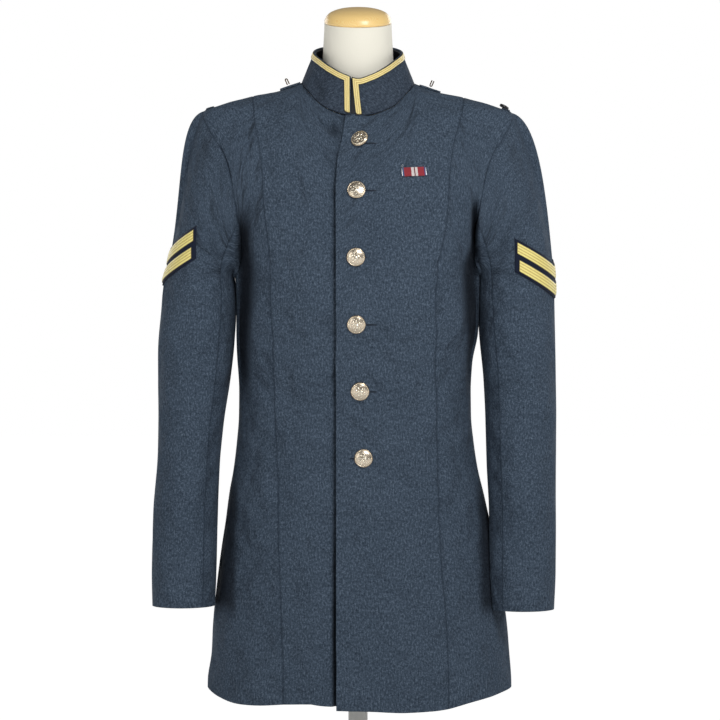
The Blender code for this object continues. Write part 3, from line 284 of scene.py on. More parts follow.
@dataclass
class Torso:
    """The surface that the body panels are cut on, and the (angle, rise) map that covers it."""

    rings: Table = BODY_RINGS
    power: float = 2.2
    underarm: float = 533.0
    neck_half_width: float = 73.0
    neck_slope: float = 0.42
    map_floor: float = -40.0
    map_reach: float = 240.0
    tip_x: float = 199.0
    hollow: float = 26.0
    hollow_width: float = 10.8
    hollow_x: float = 144.0
    hollow_lean: float = 6.5
    arm_x: float = 150.0
    cuff_shade: float = 0.85
    chest_shade: float = 0.4

    def __post_init__(self) -> None:
        """Turn the tables into curves."""
        self.half_width, self.centre_x, self.front, self.back = [Curve(self.rings, k) for k in (1, 2, 3, 4)]
        self.map_above = Curve(MAP_WIDTH)
        self.shoulder = Curve(SHOULDER_ROWS)
        self.neckline = Curve(NECKLINE + tuple((-a, z) for a, z in NECKLINE[1:3]))

    def shoulder_height(self, x: Array) -> Array:
        """Height of the shoulder line at a distance from the middle."""
        top = self.shoulder.ys[0] + self.neck_slope * (self.neck_half_width - x)
        return np.where(x < self.neck_half_width, top, self.shoulder(x))

    def map_width(self, height: Array) -> Array:
        """Half width at which the map's angle is a quarter turn."""
        return np.where(height <= self.underarm, self.half_width(height), self.map_above(height))

    def depth(self, x: Array, height: Array, back: Array) -> Array:
        """y of the surface at x from the section's centre."""
        share = np.minimum(1.0, np.abs(x) / self.half_width(height))
        depth = (1 - share**self.power) ** (1 / self.power)
        return np.where(back, self.back(height) * depth, -self.front(height) * depth)

    def half_width_at(self, y: Array, height: Array) -> Array:
        """Distance from the section's centre to the surface at y."""
        depth = np.where(np.asarray(y) > 0, self.back(height), self.front(height))
        share = np.minimum(1.0, np.abs(y) / depth)
        return self.half_width(height) * (1 - share**self.power) ** (1 / self.power)

    def rise(self, x: Array, height: Array) -> Array:
        """The map's upward coordinate, 1 on the shoulder line."""
        top = self.shoulder_height(np.abs(x))
        return 1 - np.sqrt(np.maximum(0.0, top - height) / (top - self.map_floor))

    def to_map(self, x: Array, height: Array, back: Array) -> Array:
        """The (angle, rise) pairs of points given by their x from the centre and their height."""
        angle = np.arcsin(np.clip(x / self.map_width(height), -1, 1))
        angle = np.where(back, np.copysign(math.pi, angle) - angle, angle)
        return np.stack([angle, self.rise(x, height)], -1)

    def surface(self, places: Array) -> Array:
        """Points of the outer surface at places in the map, one for each (angle, rise)."""
        angle, up = places[..., 0], places[..., 1]
        x = np.zeros_like(angle)
        height = np.full_like(angle, 300.0)
        for _ in range(14):
            top = self.shoulder_height(np.abs(x))
            height = top - (top - self.map_floor) * (1 - up) ** 2
            x = self.map_width(height) * np.sin(angle)
        y = self.depth(x, height, np.abs(angle) > math.pi / 2)
        return np.stack([x + self.centre_x(height), y, height], -1)

    def normal(self, places: Array) -> Array:
        """Outward normals at places in the map."""
        step = 0.004
        side, lift = np.array([step, 0.0]), np.array([0.0, step])
        across = self.surface(places + side) - self.surface(places - side)
        upward = self.surface(places + lift) - self.surface(places - lift)
        found = unit(np.cross(across, upward))
        top = self.surface(np.stack([places[..., 0], np.ones_like(places[..., 1])], -1))[..., 0]
        reach = np.abs(top)
        slope = (self.shoulder_height(reach + 1) - self.shoulder_height(reach - 1)) / 2
        level = unit(np.stack([-slope * np.sign(top), 0 * top, 1 + 0 * top], -1))
        return np.where((places[..., 1] > 1 - 2 * step)[..., None], level, found)

    def chest(self, x: Array, height: Array) -> tuple[Array, Array]:
        """Surface points and normals of the front at x and height."""
        x, height = np.asarray(x, float), np.asarray(height, float)
        places = self.to_map(x - self.centre_x(height), height, False)
        return self.surface(places), self.normal(places)

    def hollow_share(self, points: Array) -> Array:
        """How far points lie in the deep hollow between chest and arm, from 0 to 1."""
        reach, y, height = np.abs(points[..., 0]), points[..., 1], points[..., 2]
        left = points[..., 0] > 0
        line = self.hollow_x + self.hollow_lean * ease((540 - height) / 110)
        line = line + np.where(left, 4.5, 2.0) * ease((height - 540) / 30)
        top = np.where(left, 645, 620)
        strong = ease((height - 350) / 80) * ease((top - height) / 55) * ease((-y - 6) / 34)
        width = self.hollow_width * (1 - np.where(left, 0.6, 0.25) * ease((height - 535) / 45))
        return strong * np.exp(-(np.abs((reach - line) / width) ** 3.2))

    def arm_shade(self, points: Array) -> Array:
        """How dark the cloth lies in the shade of the arm, from 0 to 1."""
        reach, y, height = np.abs(points[..., 0]), points[..., 1], points[..., 2]
        beside = ease((reach - self.arm_x) / 11) * ease((height - 88) / 30) * ease((300 - height) / 60)
        above = spot_of_shade(reach - 145, 15, height - 592, 26) * (points[..., 0] < 0)
        shade = self.cuff_shade * beside + self.chest_shade * above
        return self.hollow_share(points) + shade * ease((12 - y) / 40)

    def valley(self, points: Array) -> Array:
        """Points with the hollow pressed in."""
        shift = self.hollow * self.hollow_share(points)
        return points + np.stack([0 * shift, shift, 0 * shift], -1)

    def neck_point(self, angle: Array) -> Array:
        """Points of the neckline at angles in degrees from the front centre."""
        x = self.neck_half_width * np.sin(np.radians(angle))
        height = self.neckline(np.abs(angle))
        return np.stack([x, self.depth(x, height, np.abs(angle) > 90), height], -1)


def crease_depth(creases: Table, across: Array, height: Array) -> Array:
    """How far the creases together move each point of the cloth outwards.

    Args:
        creases: A row for each: how far its slope spreads, how far it moves the cloth outwards,
            and then the places along its line, as across and height in turn.
        across: The points' distance from the garment's middle plane.
        height: The points' height.

    Returns:
        The move along the normal, in millimetres.
    """
    moved = np.zeros_like(across)
    for width, depth, *places in creases:
        path = np.array(places, float).reshape(-1, 2)
        steps = np.linalg.norm(np.diff(path, axis=0), axis=1)
        lengths = np.concatenate([[0], np.cumsum(steps)])
        best = np.full_like(across, 1e9)
        place = np.zeros_like(across)
        for k, step in enumerate(steps):
            du, dv = (path[k + 1] - path[k]) / step
            t = np.clip((across - path[k][0]) * du + (height - path[k][1]) * dv, 0, step)
            away = np.hypot(across - path[k][0] - t * du, height - path[k][1] - t * dv)
            place = np.where(away < best, (lengths[k] + t) / lengths[-1], place)
            best = np.minimum(best, away)
        taper = np.sin(np.pi * (0.06 + 0.88 * place))
        moved += depth * taper * np.exp(-((best / width) ** 2))
    return moved


class Side(Enum):
    """The wearer's left and right."""

    LEFT = 1
    RIGHT = -1

    @property
    def word(self) -> str:
        """The side's name in lower case."""
        return self.name.lower()


@dataclass
class Cloth:
    """A grid of points that becomes a thin wall of cloth.

    Attributes:
        outer: Rows upward and columns across, in millimetres.
        normals: Outward directions of the same shape.
        thickness: The wall, in millimetres.
        seams: Edges that are sewn, which are drawn in and rolled under.
        roll: How far a sewn edge is rolled under.
        shade: Painted shade at each point, from 0 to 1: the hollow between chest and arm, the arm's shade
            and the shadow under the lapped front.
        ribbed: Whether its finish runs in ribs along the rows.
    """

    outer: Array
    normals: Array
    thickness: float = WOOL
    seams: Sequence[str] = ()
    roll: float = 0.55
    shade: Optional[Array] = None
    ribbed: bool = False

    def lengths(self) -> tuple[Array, Array]:
        """Distances across and upward from the grid's first column and row."""
        across = np.linalg.norm(np.diff(self.outer, axis=1), axis=2)
        upward = np.linalg.norm(np.diff(self.outer, axis=0), axis=2)
        u, v = np.cumsum(across, 1), np.cumsum(upward, 0)
        return np.pad(u, ((0, 0), (1, 0))), np.pad(v, ((1, 0), (0, 0)))

    def flat(self) -> tuple[tuple[float, float], float]:
        """The sheet's flat width and length in metres, and its area."""
        a = self.outer[1:, 1:] - self.outer[:-1, :-1]
        b = self.outer[1:, :-1] - self.outer[:-1, 1:]
        area = float(np.linalg.norm(np.cross(a, b), axis=2).sum() / 2 * MM * MM)
        u, v = self.lengths()
        width, length = float(u[:, -1].max()) * MM, float(v[-1].max()) * MM
        area = min(max(area, LEAST_FILL * width * length), width * length)
        return (max(width, LEAST_FLAT), max(length, LEAST_FLAT)), area

    def build(self, name: str) -> Piece:
        """Make the wall, with a UV map in metres of cloth and what its finish reads.

        Args:
            name: The new object's name.

        Returns:
            The new object, at the origin.
        """
        u, v = self.lengths()
        away = {"left": u, "right": u[:, -1:] - u, "bottom": v, "top": v[-1:] - v}
        sewn = np.minimum.reduce([np.full(u.shape, 1e3), *(away[edge] for edge in self.seams)])
        outer = self.outer - self.normals * (self.roll * ease(1 - sewn / SEAM_ROLL))[..., None]
        inner = self.outer - self.normals * self.thickness
        grid = np.arange(u.size).reshape(u.shape)
        quads = np.stack([grid[:-1, :-1], grid[:-1, 1:], grid[1:, 1:], grid[1:, :-1]], -1).reshape(-1, 4)
        faces = [quads, quads[:, ::-1] + u.size]
        for line in (grid[0, ::-1], grid[-1], grid[:, 0], grid[::-1, -1]):
            faces.append(np.stack([line[:-1], line[1:], line[1:] + u.size, line[:-1] + u.size], -1))
        points = np.concatenate([outer.reshape(-1, 3), inner.reshape(-1, 3)])
        piece = new_piece(name, points, np.concatenate(faces).tolist())
        columns, rows = u.shape[1] // 2, np.linspace(0, 1, len(u))[:, None] + 0 * u
        flat = np.stack([u - u[:, columns, None], v[:, columns, None] + 0 * u], -1).reshape(-1, 2) * MM
        unwrap(piece.data, np.concatenate([flat, flat]))
        edge = np.minimum.reduce(list(away.values()))
        near = {"seam": np.exp(-sewn / SEAM_REACH), "edge": np.exp(-edge / SEAM_REACH)}
        # The shade stored here is painted shade, which the wool reads as its hollow value.
        near["hollow"] = 0 * u if self.shade is None else self.shade
        if self.ribbed:
            near["across"] = rows
        for kind, values in near.items():
            store(piece.data, kind, np.tile(values.ravel(), 2))
        return piece


class Graph:
    """A material's node tree, built one node at a time."""

    def __init__(self, name: str) -> None:
        """Start a material with one Principled shader."""
        self.material = bpy.data.materials.new(name)
        self.material.use_nodes = True
        self.tree = self.material.node_tree

    def plug(self, socket: Socket, value: object) -> None:
        """Link a socket or set its value."""
        if isinstance(value, Socket):
            self.tree.links.new(value, socket)
        elif socket.type == "RGBA" and len(value) == 3:
            socket.default_value = (*value, 1.0)
        else:
            socket.default_value = value

    def node(self, kind: str, inputs: Optional[dict] = None, **settings: object) -> Node:
        """Add a node.

        Args:
            kind: The node's type name without its ShaderNode prefix.
            inputs: Values or sockets for its inputs, by name or number.
            **settings: Its own properties.

        Returns:
            The new node.
        """
        made = self.tree.nodes.new("ShaderNode" + kind)
        for key, value in settings.items():
            setattr(made, key, value)
        for key, value in (inputs or {}).items():
            self.plug(made.inputs[key], value)
        return made

    def math(self, operation: str, *values: object) -> Socket:
        """The result of one sum on numbers or sockets."""
        return self.node("Math", dict(enumerate(values)), operation=operation).outputs[0]

    def weigh(self, total: object, *parts: tuple[object, float]) -> Socket:
        """A total with more values added, each times its weight."""
        for value, weight in parts:
            total = self.math("MULTIPLY_ADD", value, weight, total)
        return total

    def mix(self, share: object, first: object, second: object) -> Socket:
        """A blend of two colours."""
        return self.node("Mix", {"Factor": share, 6: first, 7: second}, data_type="RGBA").outputs[2]

    def cloth(self, scale: Sequence[float] = (1, 1, 1), turn: float = 0.0) -> Socket:
        """The piece's own UV map in metres, stretched and turned."""
        uv = self.node("UVMap", uv_map="cloth").outputs[0]
        return self.node("Mapping", {"Vector": uv, "Rotation": (0, 0, turn), "Scale": scale}).outputs[0]

    def place(self, scale: Sequence[float] = (1, 1, 1)) -> Socket:
        """Object coordinates, stretched."""
        found = self.node("TexCoord").outputs["Object"]
        return self.node("Mapping", {"Vector": found, "Scale": scale}).outputs[0]

    def noise(self, where: object, scale: float, detail: float = 2.0, rough: float = 0.5) -> Socket:
        """Soft noise of one scale."""
        inputs = {"Vector": where, "Scale": scale, "Detail": detail, "Roughness": rough}
        return self.node("TexNoise", inputs).outputs[0]

    def wave(self, where: object, scale: float, way: str, **more: float) -> Socket:
        """Even bands across one direction."""
        made = self.node("TexWave", {"Vector": where, "Scale": scale, **more}, bands_direction=way)
        return made.outputs["Fac"]

    def attribute(self, name: str) -> Socket:
        """One of the piece's own stored values."""
        return self.node("Attribute", attribute_name=name).outputs["Fac"]

    def ramp(self, value: object, stops: Sequence, kind: str = "LINEAR") -> Socket:
        """Colours along a value, from (place, screen colour) stops."""
        made = self.node("ValToRGB", {0: value})
        made.color_ramp.interpolation = kind
        while len(made.color_ramp.elements) < len(stops):
            made.color_ramp.elements.new(1.0)
        for element, (at, colour) in zip(made.color_ramp.elements, stops):
            element.position = at
            element.color = (*linear(colour), 1.0)
        return made.outputs[0]

    def bump(self, height: object, distance: float, strength: float, under: object = None) -> Socket:
        """A bump from a height, over another one if given."""
        inputs = {"Height": height, "Distance": distance, "Strength": strength}
        if under is not None:
            inputs["Normal"] = under
        return self.node("Bump", inputs).outputs[0]

    def finish(self, colour: object, rough: object, normal: object = None, **sockets: object) -> Material:
        """Connect or set the shader's inputs and return the material."""
        values = {"Base Color": colour, "Roughness": rough}
        values.update({key.replace("_", " "): value for key, value in sockets.items()})
        if normal is not None:
            values["Normal"] = normal
        for key, value in values.items():
            self.plug(self.tree.nodes["Principled BSDF"].inputs[key], value)
        return self.material


def linear(screen: Sequence[float], times: float = 1.0) -> tuple[float, ...]:
    """A linear colour from the 0 to 255 values that a screen shows, made lighter or darker."""
    parts = [value / 255 for value in screen]
    return tuple(times * (p / 12.92 if p <= 0.04045 else ((p + 0.055) / 1.055) ** 2.4) for p in parts)


@dataclass(frozen=True)
class Finish:
    """A finish with its colours as a screen shows them, from 0 to 255."""

    name: str
    base: Sequence[float]


@dataclass(frozen=True)
class Paint(Finish):
    """Smooth paint or moulded plastic with a faint orange-peel."""

    rough: float

    def make(self, g: Graph) -> Material:
        """Fill in the nodes."""
        smudge = g.noise(g.place(), 18.0, 3.0)
        colour = g.mix(g.weigh(0.0, (smudge, 0.12)), linear(self.base), linear(self.base, 0.8))
        peel = g.bump(g.noise(g.place(), 260.0), 0.00005, 0.4)
        return g.finish(colour, g.weigh(self.rough, (smudge, 0.12)), peel, Specular_IOR_Level=0.5)


@dataclass(frozen=True)
class Wool(Finish):
    """Heathered wool: dark and pale fibres spun together and woven in a fine twill."""

    dark: Sequence[float]
    pale: Sequence[float]

    def make(self, g: Graph) -> Material:
        """Fill in the nodes, on the cloth's own UV map."""
        speck = g.noise(g.cloth((1.0, 0.8, 1)), 420.0, 2.0, 0.6)
        fibre = g.noise(g.cloth((1.0, 0.7, 1)), 1100.0, 2.0, 0.65)
        yarn = g.noise(g.cloth((1.0, 0.25, 1)), 620.0, 1.5)
        broad = g.noise(g.cloth(), 14.0, 3.0, 0.55)
        mixed = g.weigh(-0.03, (speck, 0.4), (fibre, 0.36), (yarn, 0.24), (broad, 0.06))
        colour = g.ramp(mixed, [(0.33, self.dark), (0.5, self.base), (0.68, self.pale)])
        seam = g.attribute("seam")
        colour = g.mix(g.weigh(0.0, (g.math("POWER", seam, 2.0), 0.65)), colour, linear(self.dark))
        # Painted shade: the wool goes near black where the stored hollow value is high, by the arm, in the
        # arm's shade and under the lapped front.
        colour = g.mix(g.weigh(0.0, (g.attribute("hollow"), 0.85)), colour, (0.002, 0.002, 0.004))
        twill = g.wave(g.cloth(turn=0.9), 260.0, "X", Distortion=1.0, Detail=1.0)
        normal = g.bump(g.weigh(fibre, (twill, 0.35)), 0.0003, 0.6)
        pucker = g.math("MULTIPLY", g.noise(g.cloth((0.5, 1.0, 1)), 95.0, 1.0), seam)
        normal = g.bump(pucker, 0.0014, 0.6, normal)
        normal = g.bump(g.noise(g.cloth(), 19.0, 2.5), 0.026, 1.0, normal)
        sheen = {"Sheen_Weight": 0.1, "Sheen_Roughness": 0.5, "Sheen_Tint": linear((120, 135, 155))}
        return g.finish(colour, 0.95, normal, Specular_IOR_Level=0.15, **sheen)


@dataclass(frozen=True)
class Felt(Finish):
    """Close dark felt, as under the chevrons."""

    def make(self, g: Graph) -> Material:
        """Fill in the nodes."""
        nap = g.noise(g.cloth(), 1400.0, 3.0, 0.7)
        colour = g.mix(nap, linear(self.base, 0.6), linear(self.base, 1.5))
        return g.finish(colour, 1.0, g.bump(nap, 0.0003, 0.6), Specular_IOR_Level=0.1, Sheen_Weight=0.08)


@dataclass(frozen=True)
class Braid(Finish):
    """Gold woven braid, ribbed along its length with fine cross threads."""

    shade: Sequence[float]
    ribs: float

    def make(self, g: Graph) -> Material:
        """Fill in the nodes, the ribs following the braid's own width."""
        along = g.node("SeparateXYZ", {0: g.cloth()}).outputs[0]
        turns = g.math("MULTIPLY", g.attribute("across"), math.pi * self.ribs)
        rib = g.math("ABSOLUTE", g.math("SINE", turns))
        slant = g.weigh(0.0, (along, 2 * math.pi / 0.0013), (rib, 2.2))
        height = g.weigh(rib, (g.weigh(0.5, (g.math("SINE", slant), 0.5)), 0.45))
        wear = g.noise(g.cloth(), 240.0, 3.0, 0.6)
        # Painted shade: the colour goes darker in the rib valleys, with random wear on top.
        colour = g.ramp(g.weigh(0.0, (wear, 0.3), (height, 0.62)), [(0.2, self.shade), (0.75, self.base)])
        # Painted shade along the braid's edges: the outermost half millimetre turns dark brown.
        rim = g.node("MapRange", {0: g.attribute("edge"), 1: 0.76, 2: 0.86}).outputs[0]
        colour = g.mix(rim, colour, linear((70, 54, 30)))
        normal = g.bump(height, 0.00045, 0.9)
        return g.finish(colour, 0.42, normal, Specular_IOR_Level=0.7, Sheen_Weight=0.1)


@dataclass(frozen=True)
class Satin(Finish):
    """Dark satin lining with a fine sheen."""

    def make(self, g: Graph) -> Material:
        """Fill in the nodes."""
        thread = g.noise(g.cloth((1.0, 0.05, 1)), 1800.0, 1.0)
        colour = g.mix(thread, linear(self.base), linear(self.base, 1.8))
        return g.finish(colour, 0.45, g.bump(thread, 0.0001, 0.5), Specular_IOR_Level=0.5)


@dataclass(frozen=True)
class Metal(Finish):
    """Stamped or drawn metal with dull recesses and fine scratches."""

    recess: Sequence[float]
    rough: float

    def make(self, g: Graph) -> Material:
        """Fill in the nodes. Pieces with a relief store where it is low, and where a painted dark
        reflection lies on their rim.
        """
        grime_and_shade_noise = g.noise(g.place(), 900.0, 3.0, 0.6)
        share = g.math("MULTIPLY", g.attribute("recess"), g.weigh(0.55, (grime_and_shade_noise, 0.5)))
        colour = g.mix(share, linear(self.base), linear(self.recess))
        rough = g.weigh(self.rough, (grime_and_shade_noise, 0.2))
        return g.finish(colour, rough, g.bump(grime_and_shade_noise, 0.00006, 0.5), Metallic=1.0)


@dataclass(frozen=True)
class Ribbon(Finish):
    """Ribbed ribbon. Its base is a table of stripes: where each starts across the bar, and its colour."""

    def make(self, g: Graph) -> Material:
        """Fill in the nodes from the bar's own across value."""
        stops = [(at, colour) for at, *colour in self.base]
        colour = g.ramp(g.attribute("across"), stops, "CONSTANT")
        colour = g.mix(g.weigh(0.0, (g.noise(g.cloth(), 500.0), 0.2)), colour, (0.01, 0.008, 0.012))
        return g.finish(colour, 0.6, g.bump(g.wave(g.cloth(), 420.0, "Y"), 0.0003, 0.7), Sheen_Weight=0.2)


@dataclass(frozen=True)
class Linen(Finish):
    """Cream knitted linen stretched over the form."""

    def make(self, g: Graph) -> Material:
        """Fill in the nodes on object coordinates, because the cover has no cut of its own."""
        fibre = g.noise(g.place((1, 1, 0.3)), 1200.0)
        height = g.weigh(fibre, (g.wave(g.place(), 320.0, "Z", Distortion=0.6), 0.5))
        tint = g.weigh(0.0, (g.noise(g.place(), 22.0), 0.6))
        colour = g.mix(tint, linear(self.base), linear(self.base, 0.9))
        return g.finish(colour, 0.9, g.bump(height, 0.00025, 0.6), Specular_IOR_Level=0.2, Sheen_Weight=0.2)


@dataclass(frozen=True)
class Wood(Finish):
    """Pale varnished wood with long soft grain."""

    grain: Sequence[float]

    def make(self, g: Graph) -> Material:
        """Fill in the nodes."""
        bend = g.noise(g.place(), 14.0)
        where = g.node("VectorMath", {0: g.place((1.0, 0.22, 1.0)), 1: bend}, operation="ADD").outputs[0]
        ring = g.wave(where, 46.0, "X", Distortion=2.5, Detail=2.0)
        pore = g.noise(g.place((1.0, 0.08, 1.0)), 1500.0)
        colour = g.mix(g.weigh(0.0, (ring, 0.5), (pore, 0.25)), linear(self.base), linear(self.grain))
        return g.finish(colour, 0.38, g.bump(pore, 0.00008, 0.5), Coat_Weight=0.5, Coat_Roughness=0.18)


STRIPES = (
    (0.0, 70, 96, 140), (0.09, 160, 34, 48), (0.385, 236, 226, 224), (0.5, 120, 16, 30),
    (0.54, 236, 226, 224), (0.64, 166, 36, 52), (0.9, 78, 70, 128),
)
FINISHES = (
    Wool("tunic_wool", (65, 78, 93), (30, 39, 51), (106, 121, 139)),
    Wool("collar_wool", (56, 66, 79), (27, 33, 44), (92, 105, 121)),
    Felt("navy_felt", (30, 36, 52)),
    Satin("dark_lining", (24, 26, 32)),
    Braid("collar_gold", (255, 236, 158), (190, 140, 56), 3.0),
    Braid("sleeve_gold", (255, 240, 146), (184, 142, 48), 4.0),
    Metal("button_metal", (255, 247, 228), (150, 112, 70), 0.16),
    Metal("bar_silver", (186, 188, 194), (120, 120, 128), 0.35),
    Metal("brass_wire", (92, 70, 38), (50, 36, 20), 0.5),
    Ribbon("chest_ribbon", STRIPES),
    Felt("thread", (50, 60, 73)),
    Felt("slit_shadow", (34, 22, 28)),
    Linen("cover_linen", (250, 246, 231)),
    Wood("cap_maple", (255, 224, 152), (250, 200, 120)),
    Paint("stand_white", (232, 231, 226), 0.35),
    Paint("black_button", (22, 22, 25), 0.3),
)


@dataclass
class Workroom:
    """The finishes, and the last step that hands each piece over to the frame."""

    finishes: dict[str, Material] = field(default_factory=dict)

    def mix_finishes(self) -> None:
        """Make every material once."""
        for finish in FINISHES:
            self.finishes[finish.name] = finish.make(Graph(finish.name))

    def dress(self, piece: Piece, finish: str) -> None:
        """Give a piece its finish."""
        piece.data.materials.clear()
        piece.data.materials.append(self.finishes[finish])

    def hand_over(self, piece: Piece, finish: str, slot: str, *nodes: str) -> None:
        """Dress a piece and fasten it to the frame.

        Args:
            piece: The finished object, at the origin.
            finish: The name of its finish.
            slot: The record's material slot; not used.
            *nodes: The CAD nodes that it stands for.
        """
        self.dress(piece, finish)
        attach(piece, "root")
        if nodes:
            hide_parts(*nodes)
        log.info("%s: %d faces, finish %s", piece.name, len(piece.data.polygons), finish)

    def hang(
        self, cloth: Cloth, name: str, finish: str, slot: str, node: str
    ) -> None:
        """Args:
            cloth: The sheet.
            name: The new piece's name.
            finish: The name of its finish.
            slot: The record's material slot.
            node: The CAD node that it stands for.
        """
        piece = cloth.build(name)
        self.hand_over(piece, finish, slot, node)


# Creases: spread, outward move, then places along the line as across and height
FRONT_CREASES = (
    (5, -4.6, -56, 732, -38, 722, -24, 706), (7, 2.4, -63, 725, -41, 712, -24, 700),
    (7, -2.8, -144, 474, -104, 446, -60, 418, -34, 398), (6, -3.2, -140, 437, -91, 411, -51, 386, -30, 371),
    (8, -2.8, -133, 399, -85, 377, -34, 346), (4, -3.8, -145, 319, -117, 316, -84, 306),
    (5, 2.1, -142, 306, -98, 296), (8, -3.3, -25, 349, -4, 341, 18, 327),
    (10, -2.4, -98, 305, -103, 274, -93, 220), (7, -2.4, -61, 257, -48, 230, -33, 202),
    (12, -3.8, -164, 236, -140, 173, -154, 108), (14, -3.6, -123, 189, -112, 130, -121, 42),
    (12, -2.8, -79, 123, -85, 67, -71, 1), (8, -3.3, -51, 79, -41, 54, -33, 26),
    (4.5, -3.8, 83, 554, 109, 546, 135, 549), (4, -3.3, 86, 538, 101, 536, 118, 529),
    (4, -3.2, 95, 512, 109, 502, 122, 505), (6, -2.1, 9, 515, 65, 522, 123, 512),
    (5, -2.7, -20, 440, -1, 437, 16, 426), (9, -2.4, 26, 398, 84, 411, 134, 385),
    (8, -2.4, 81, 323, 109, 335, 135, 355), (5, -3.8, 75, 220, 96, 227, 118, 239),
    (5, 2.1, 79, 235, 110, 245), (6, -2.7, -18, 235, 28, 232, 75, 236),
    (5, -3.2, 109, 205, 113, 161, 113, 95), (7, -2.8, 135, 267, 123, 245, 109, 222),
    (9, -3.8, 122, 92, 140, 42, 160, 3), (10, 2.8, 137, 89, 154, 48, 175, 13),
    (12, -2.7, -20, 210, 3, 185, 35, 198), (24, 3.8, 84, 139, 109, 95), (12, -2.8, 18, 91, 59, 42, 85, 9),
    (10, -2.4, -16, 72, 9, 16), (8, -1.6, -197, 703, -172, 684, -152, 648),
    (12, -0.7, -127, 708, -119, 662, -124, 623), (12, -2.2, -148, 631, -133, 599, -118, 567),
    (10, -2.6, 152, 618, 142, 581, 134, 521), (18, -1.0, 69, 713, 93, 684, 134, 693),
    (8, -2.0, 3, 680, 28, 660, 49, 668), (26, 3.8, -68, 581, -60, 502), (26, 2.8, 35, 599, 71, 521),
    (12, -1.3, -103, 693, -79, 656, -85, 615), (9, -2.1, -79, 493, -51, 474, -33, 444),
    (7, -2.1, 28, 311, 59, 292, 109, 286), (9, -2.1, -4, 155, 34, 136, 84, 155),
)
SLEEVE_CREASES_RIGHT = (
    (7, -2.0, 244, 482, 225, 450, 211, 410), (9, -0.9, 207, 611, 192, 594),
    (8, -1.9, 234, 384, 202, 404, 182, 437), (8, -1.9, 248, 308, 215, 320, 182, 347),
    (8, -1.7, 251, 250, 221, 231, 188, 246), (6, -1.9, 244, 155, 221, 130, 201, 116),
    (7, -1.7, 260, 194, 228, 180, 195, 200), (10, -0.8, 214, 437, 177, 382),
    (7, -1.4, 196, 686, 177, 658, 163, 616),
)
SLEEVE_CREASES_LEFT = (
    (7, -2.0, 183, 354, 214, 340, 241, 379), (7, -1.7, 201, 488, 227, 450, 234, 410),
    (6, -1.7, 214, 386, 224, 347, 216, 314), (7, -1.9, 187, 200, 214, 219, 243, 187),
    (6, -1.7, 219, 181, 241, 154), (10, -0.8, 175, 410, 201, 424, 234, 437),
    (11, -0.8, 199, 603, 177, 578, 169, 539), (8, -1.4, 175, 270, 204, 251, 239, 264),
    (7, -1.4, 188, 699, 175, 667, 169, 629),
)
BACK_CREASES = (
    (8, -3.3, -40, 470, -75, 430, -118, 405), (7, -2.8, -36, 440, -80, 402, -122, 372),
    (8, -3.2, 38, 462, 72, 428, 112, 412), (6, -2.8, 30, 432, 78, 396, 120, 380),
    (5, -3.8, -30, 352, -70, 346, -116, 356), (5, -3.3, 34, 344, 80, 350, 112, 340),
    (12, -3.6, -60, 240, -72, 150, -66, 40), (14, -3.3, 64, 250, 70, 150, 60, 30),
    (12, -2.8, -120, 200, -128, 110, -118, 30), (12, -3.2, 122, 210, 134, 120, 126, 36),
    (10, -2.7, -24, 180, -30, 90, -22, 10), (9, -2.4, 26, 160, 34, 80, 28, 6),
    (10, -3.8, -128, 640, -112, 590, -92, 560), (10, -3.6, 130, 634, 112, 588, 96, 548),
    (14, -2.1, -80, 730, -20, 745, 40, 738), (9, -2.4, -60, 690, -90, 650, -100, 600),
    (9, -2.4, 58, 684, 92, 646, 98, 596), (26, 3.3, -70, 560, -64, 640), (26, 3.2, 66, 565, 70, 635),
)
SLEEVE_BACK_CREASES = (
    (8, -3.3, 232, 330, 205, 352, 184, 342), (7, -2.8, 236, 368, 210, 386, 180, 380),
    (7, -3.2, 228, 296, 206, 310, 186, 300), (8, -2.7, 236, 440, 212, 470, 190, 520),
    (8, -2.7, 198, 590, 214, 540, 232, 500), (7, -2.7, 234, 200, 212, 214, 190, 206),
    (7, -2.4, 226, 150, 204, 162, 186, 152),
)


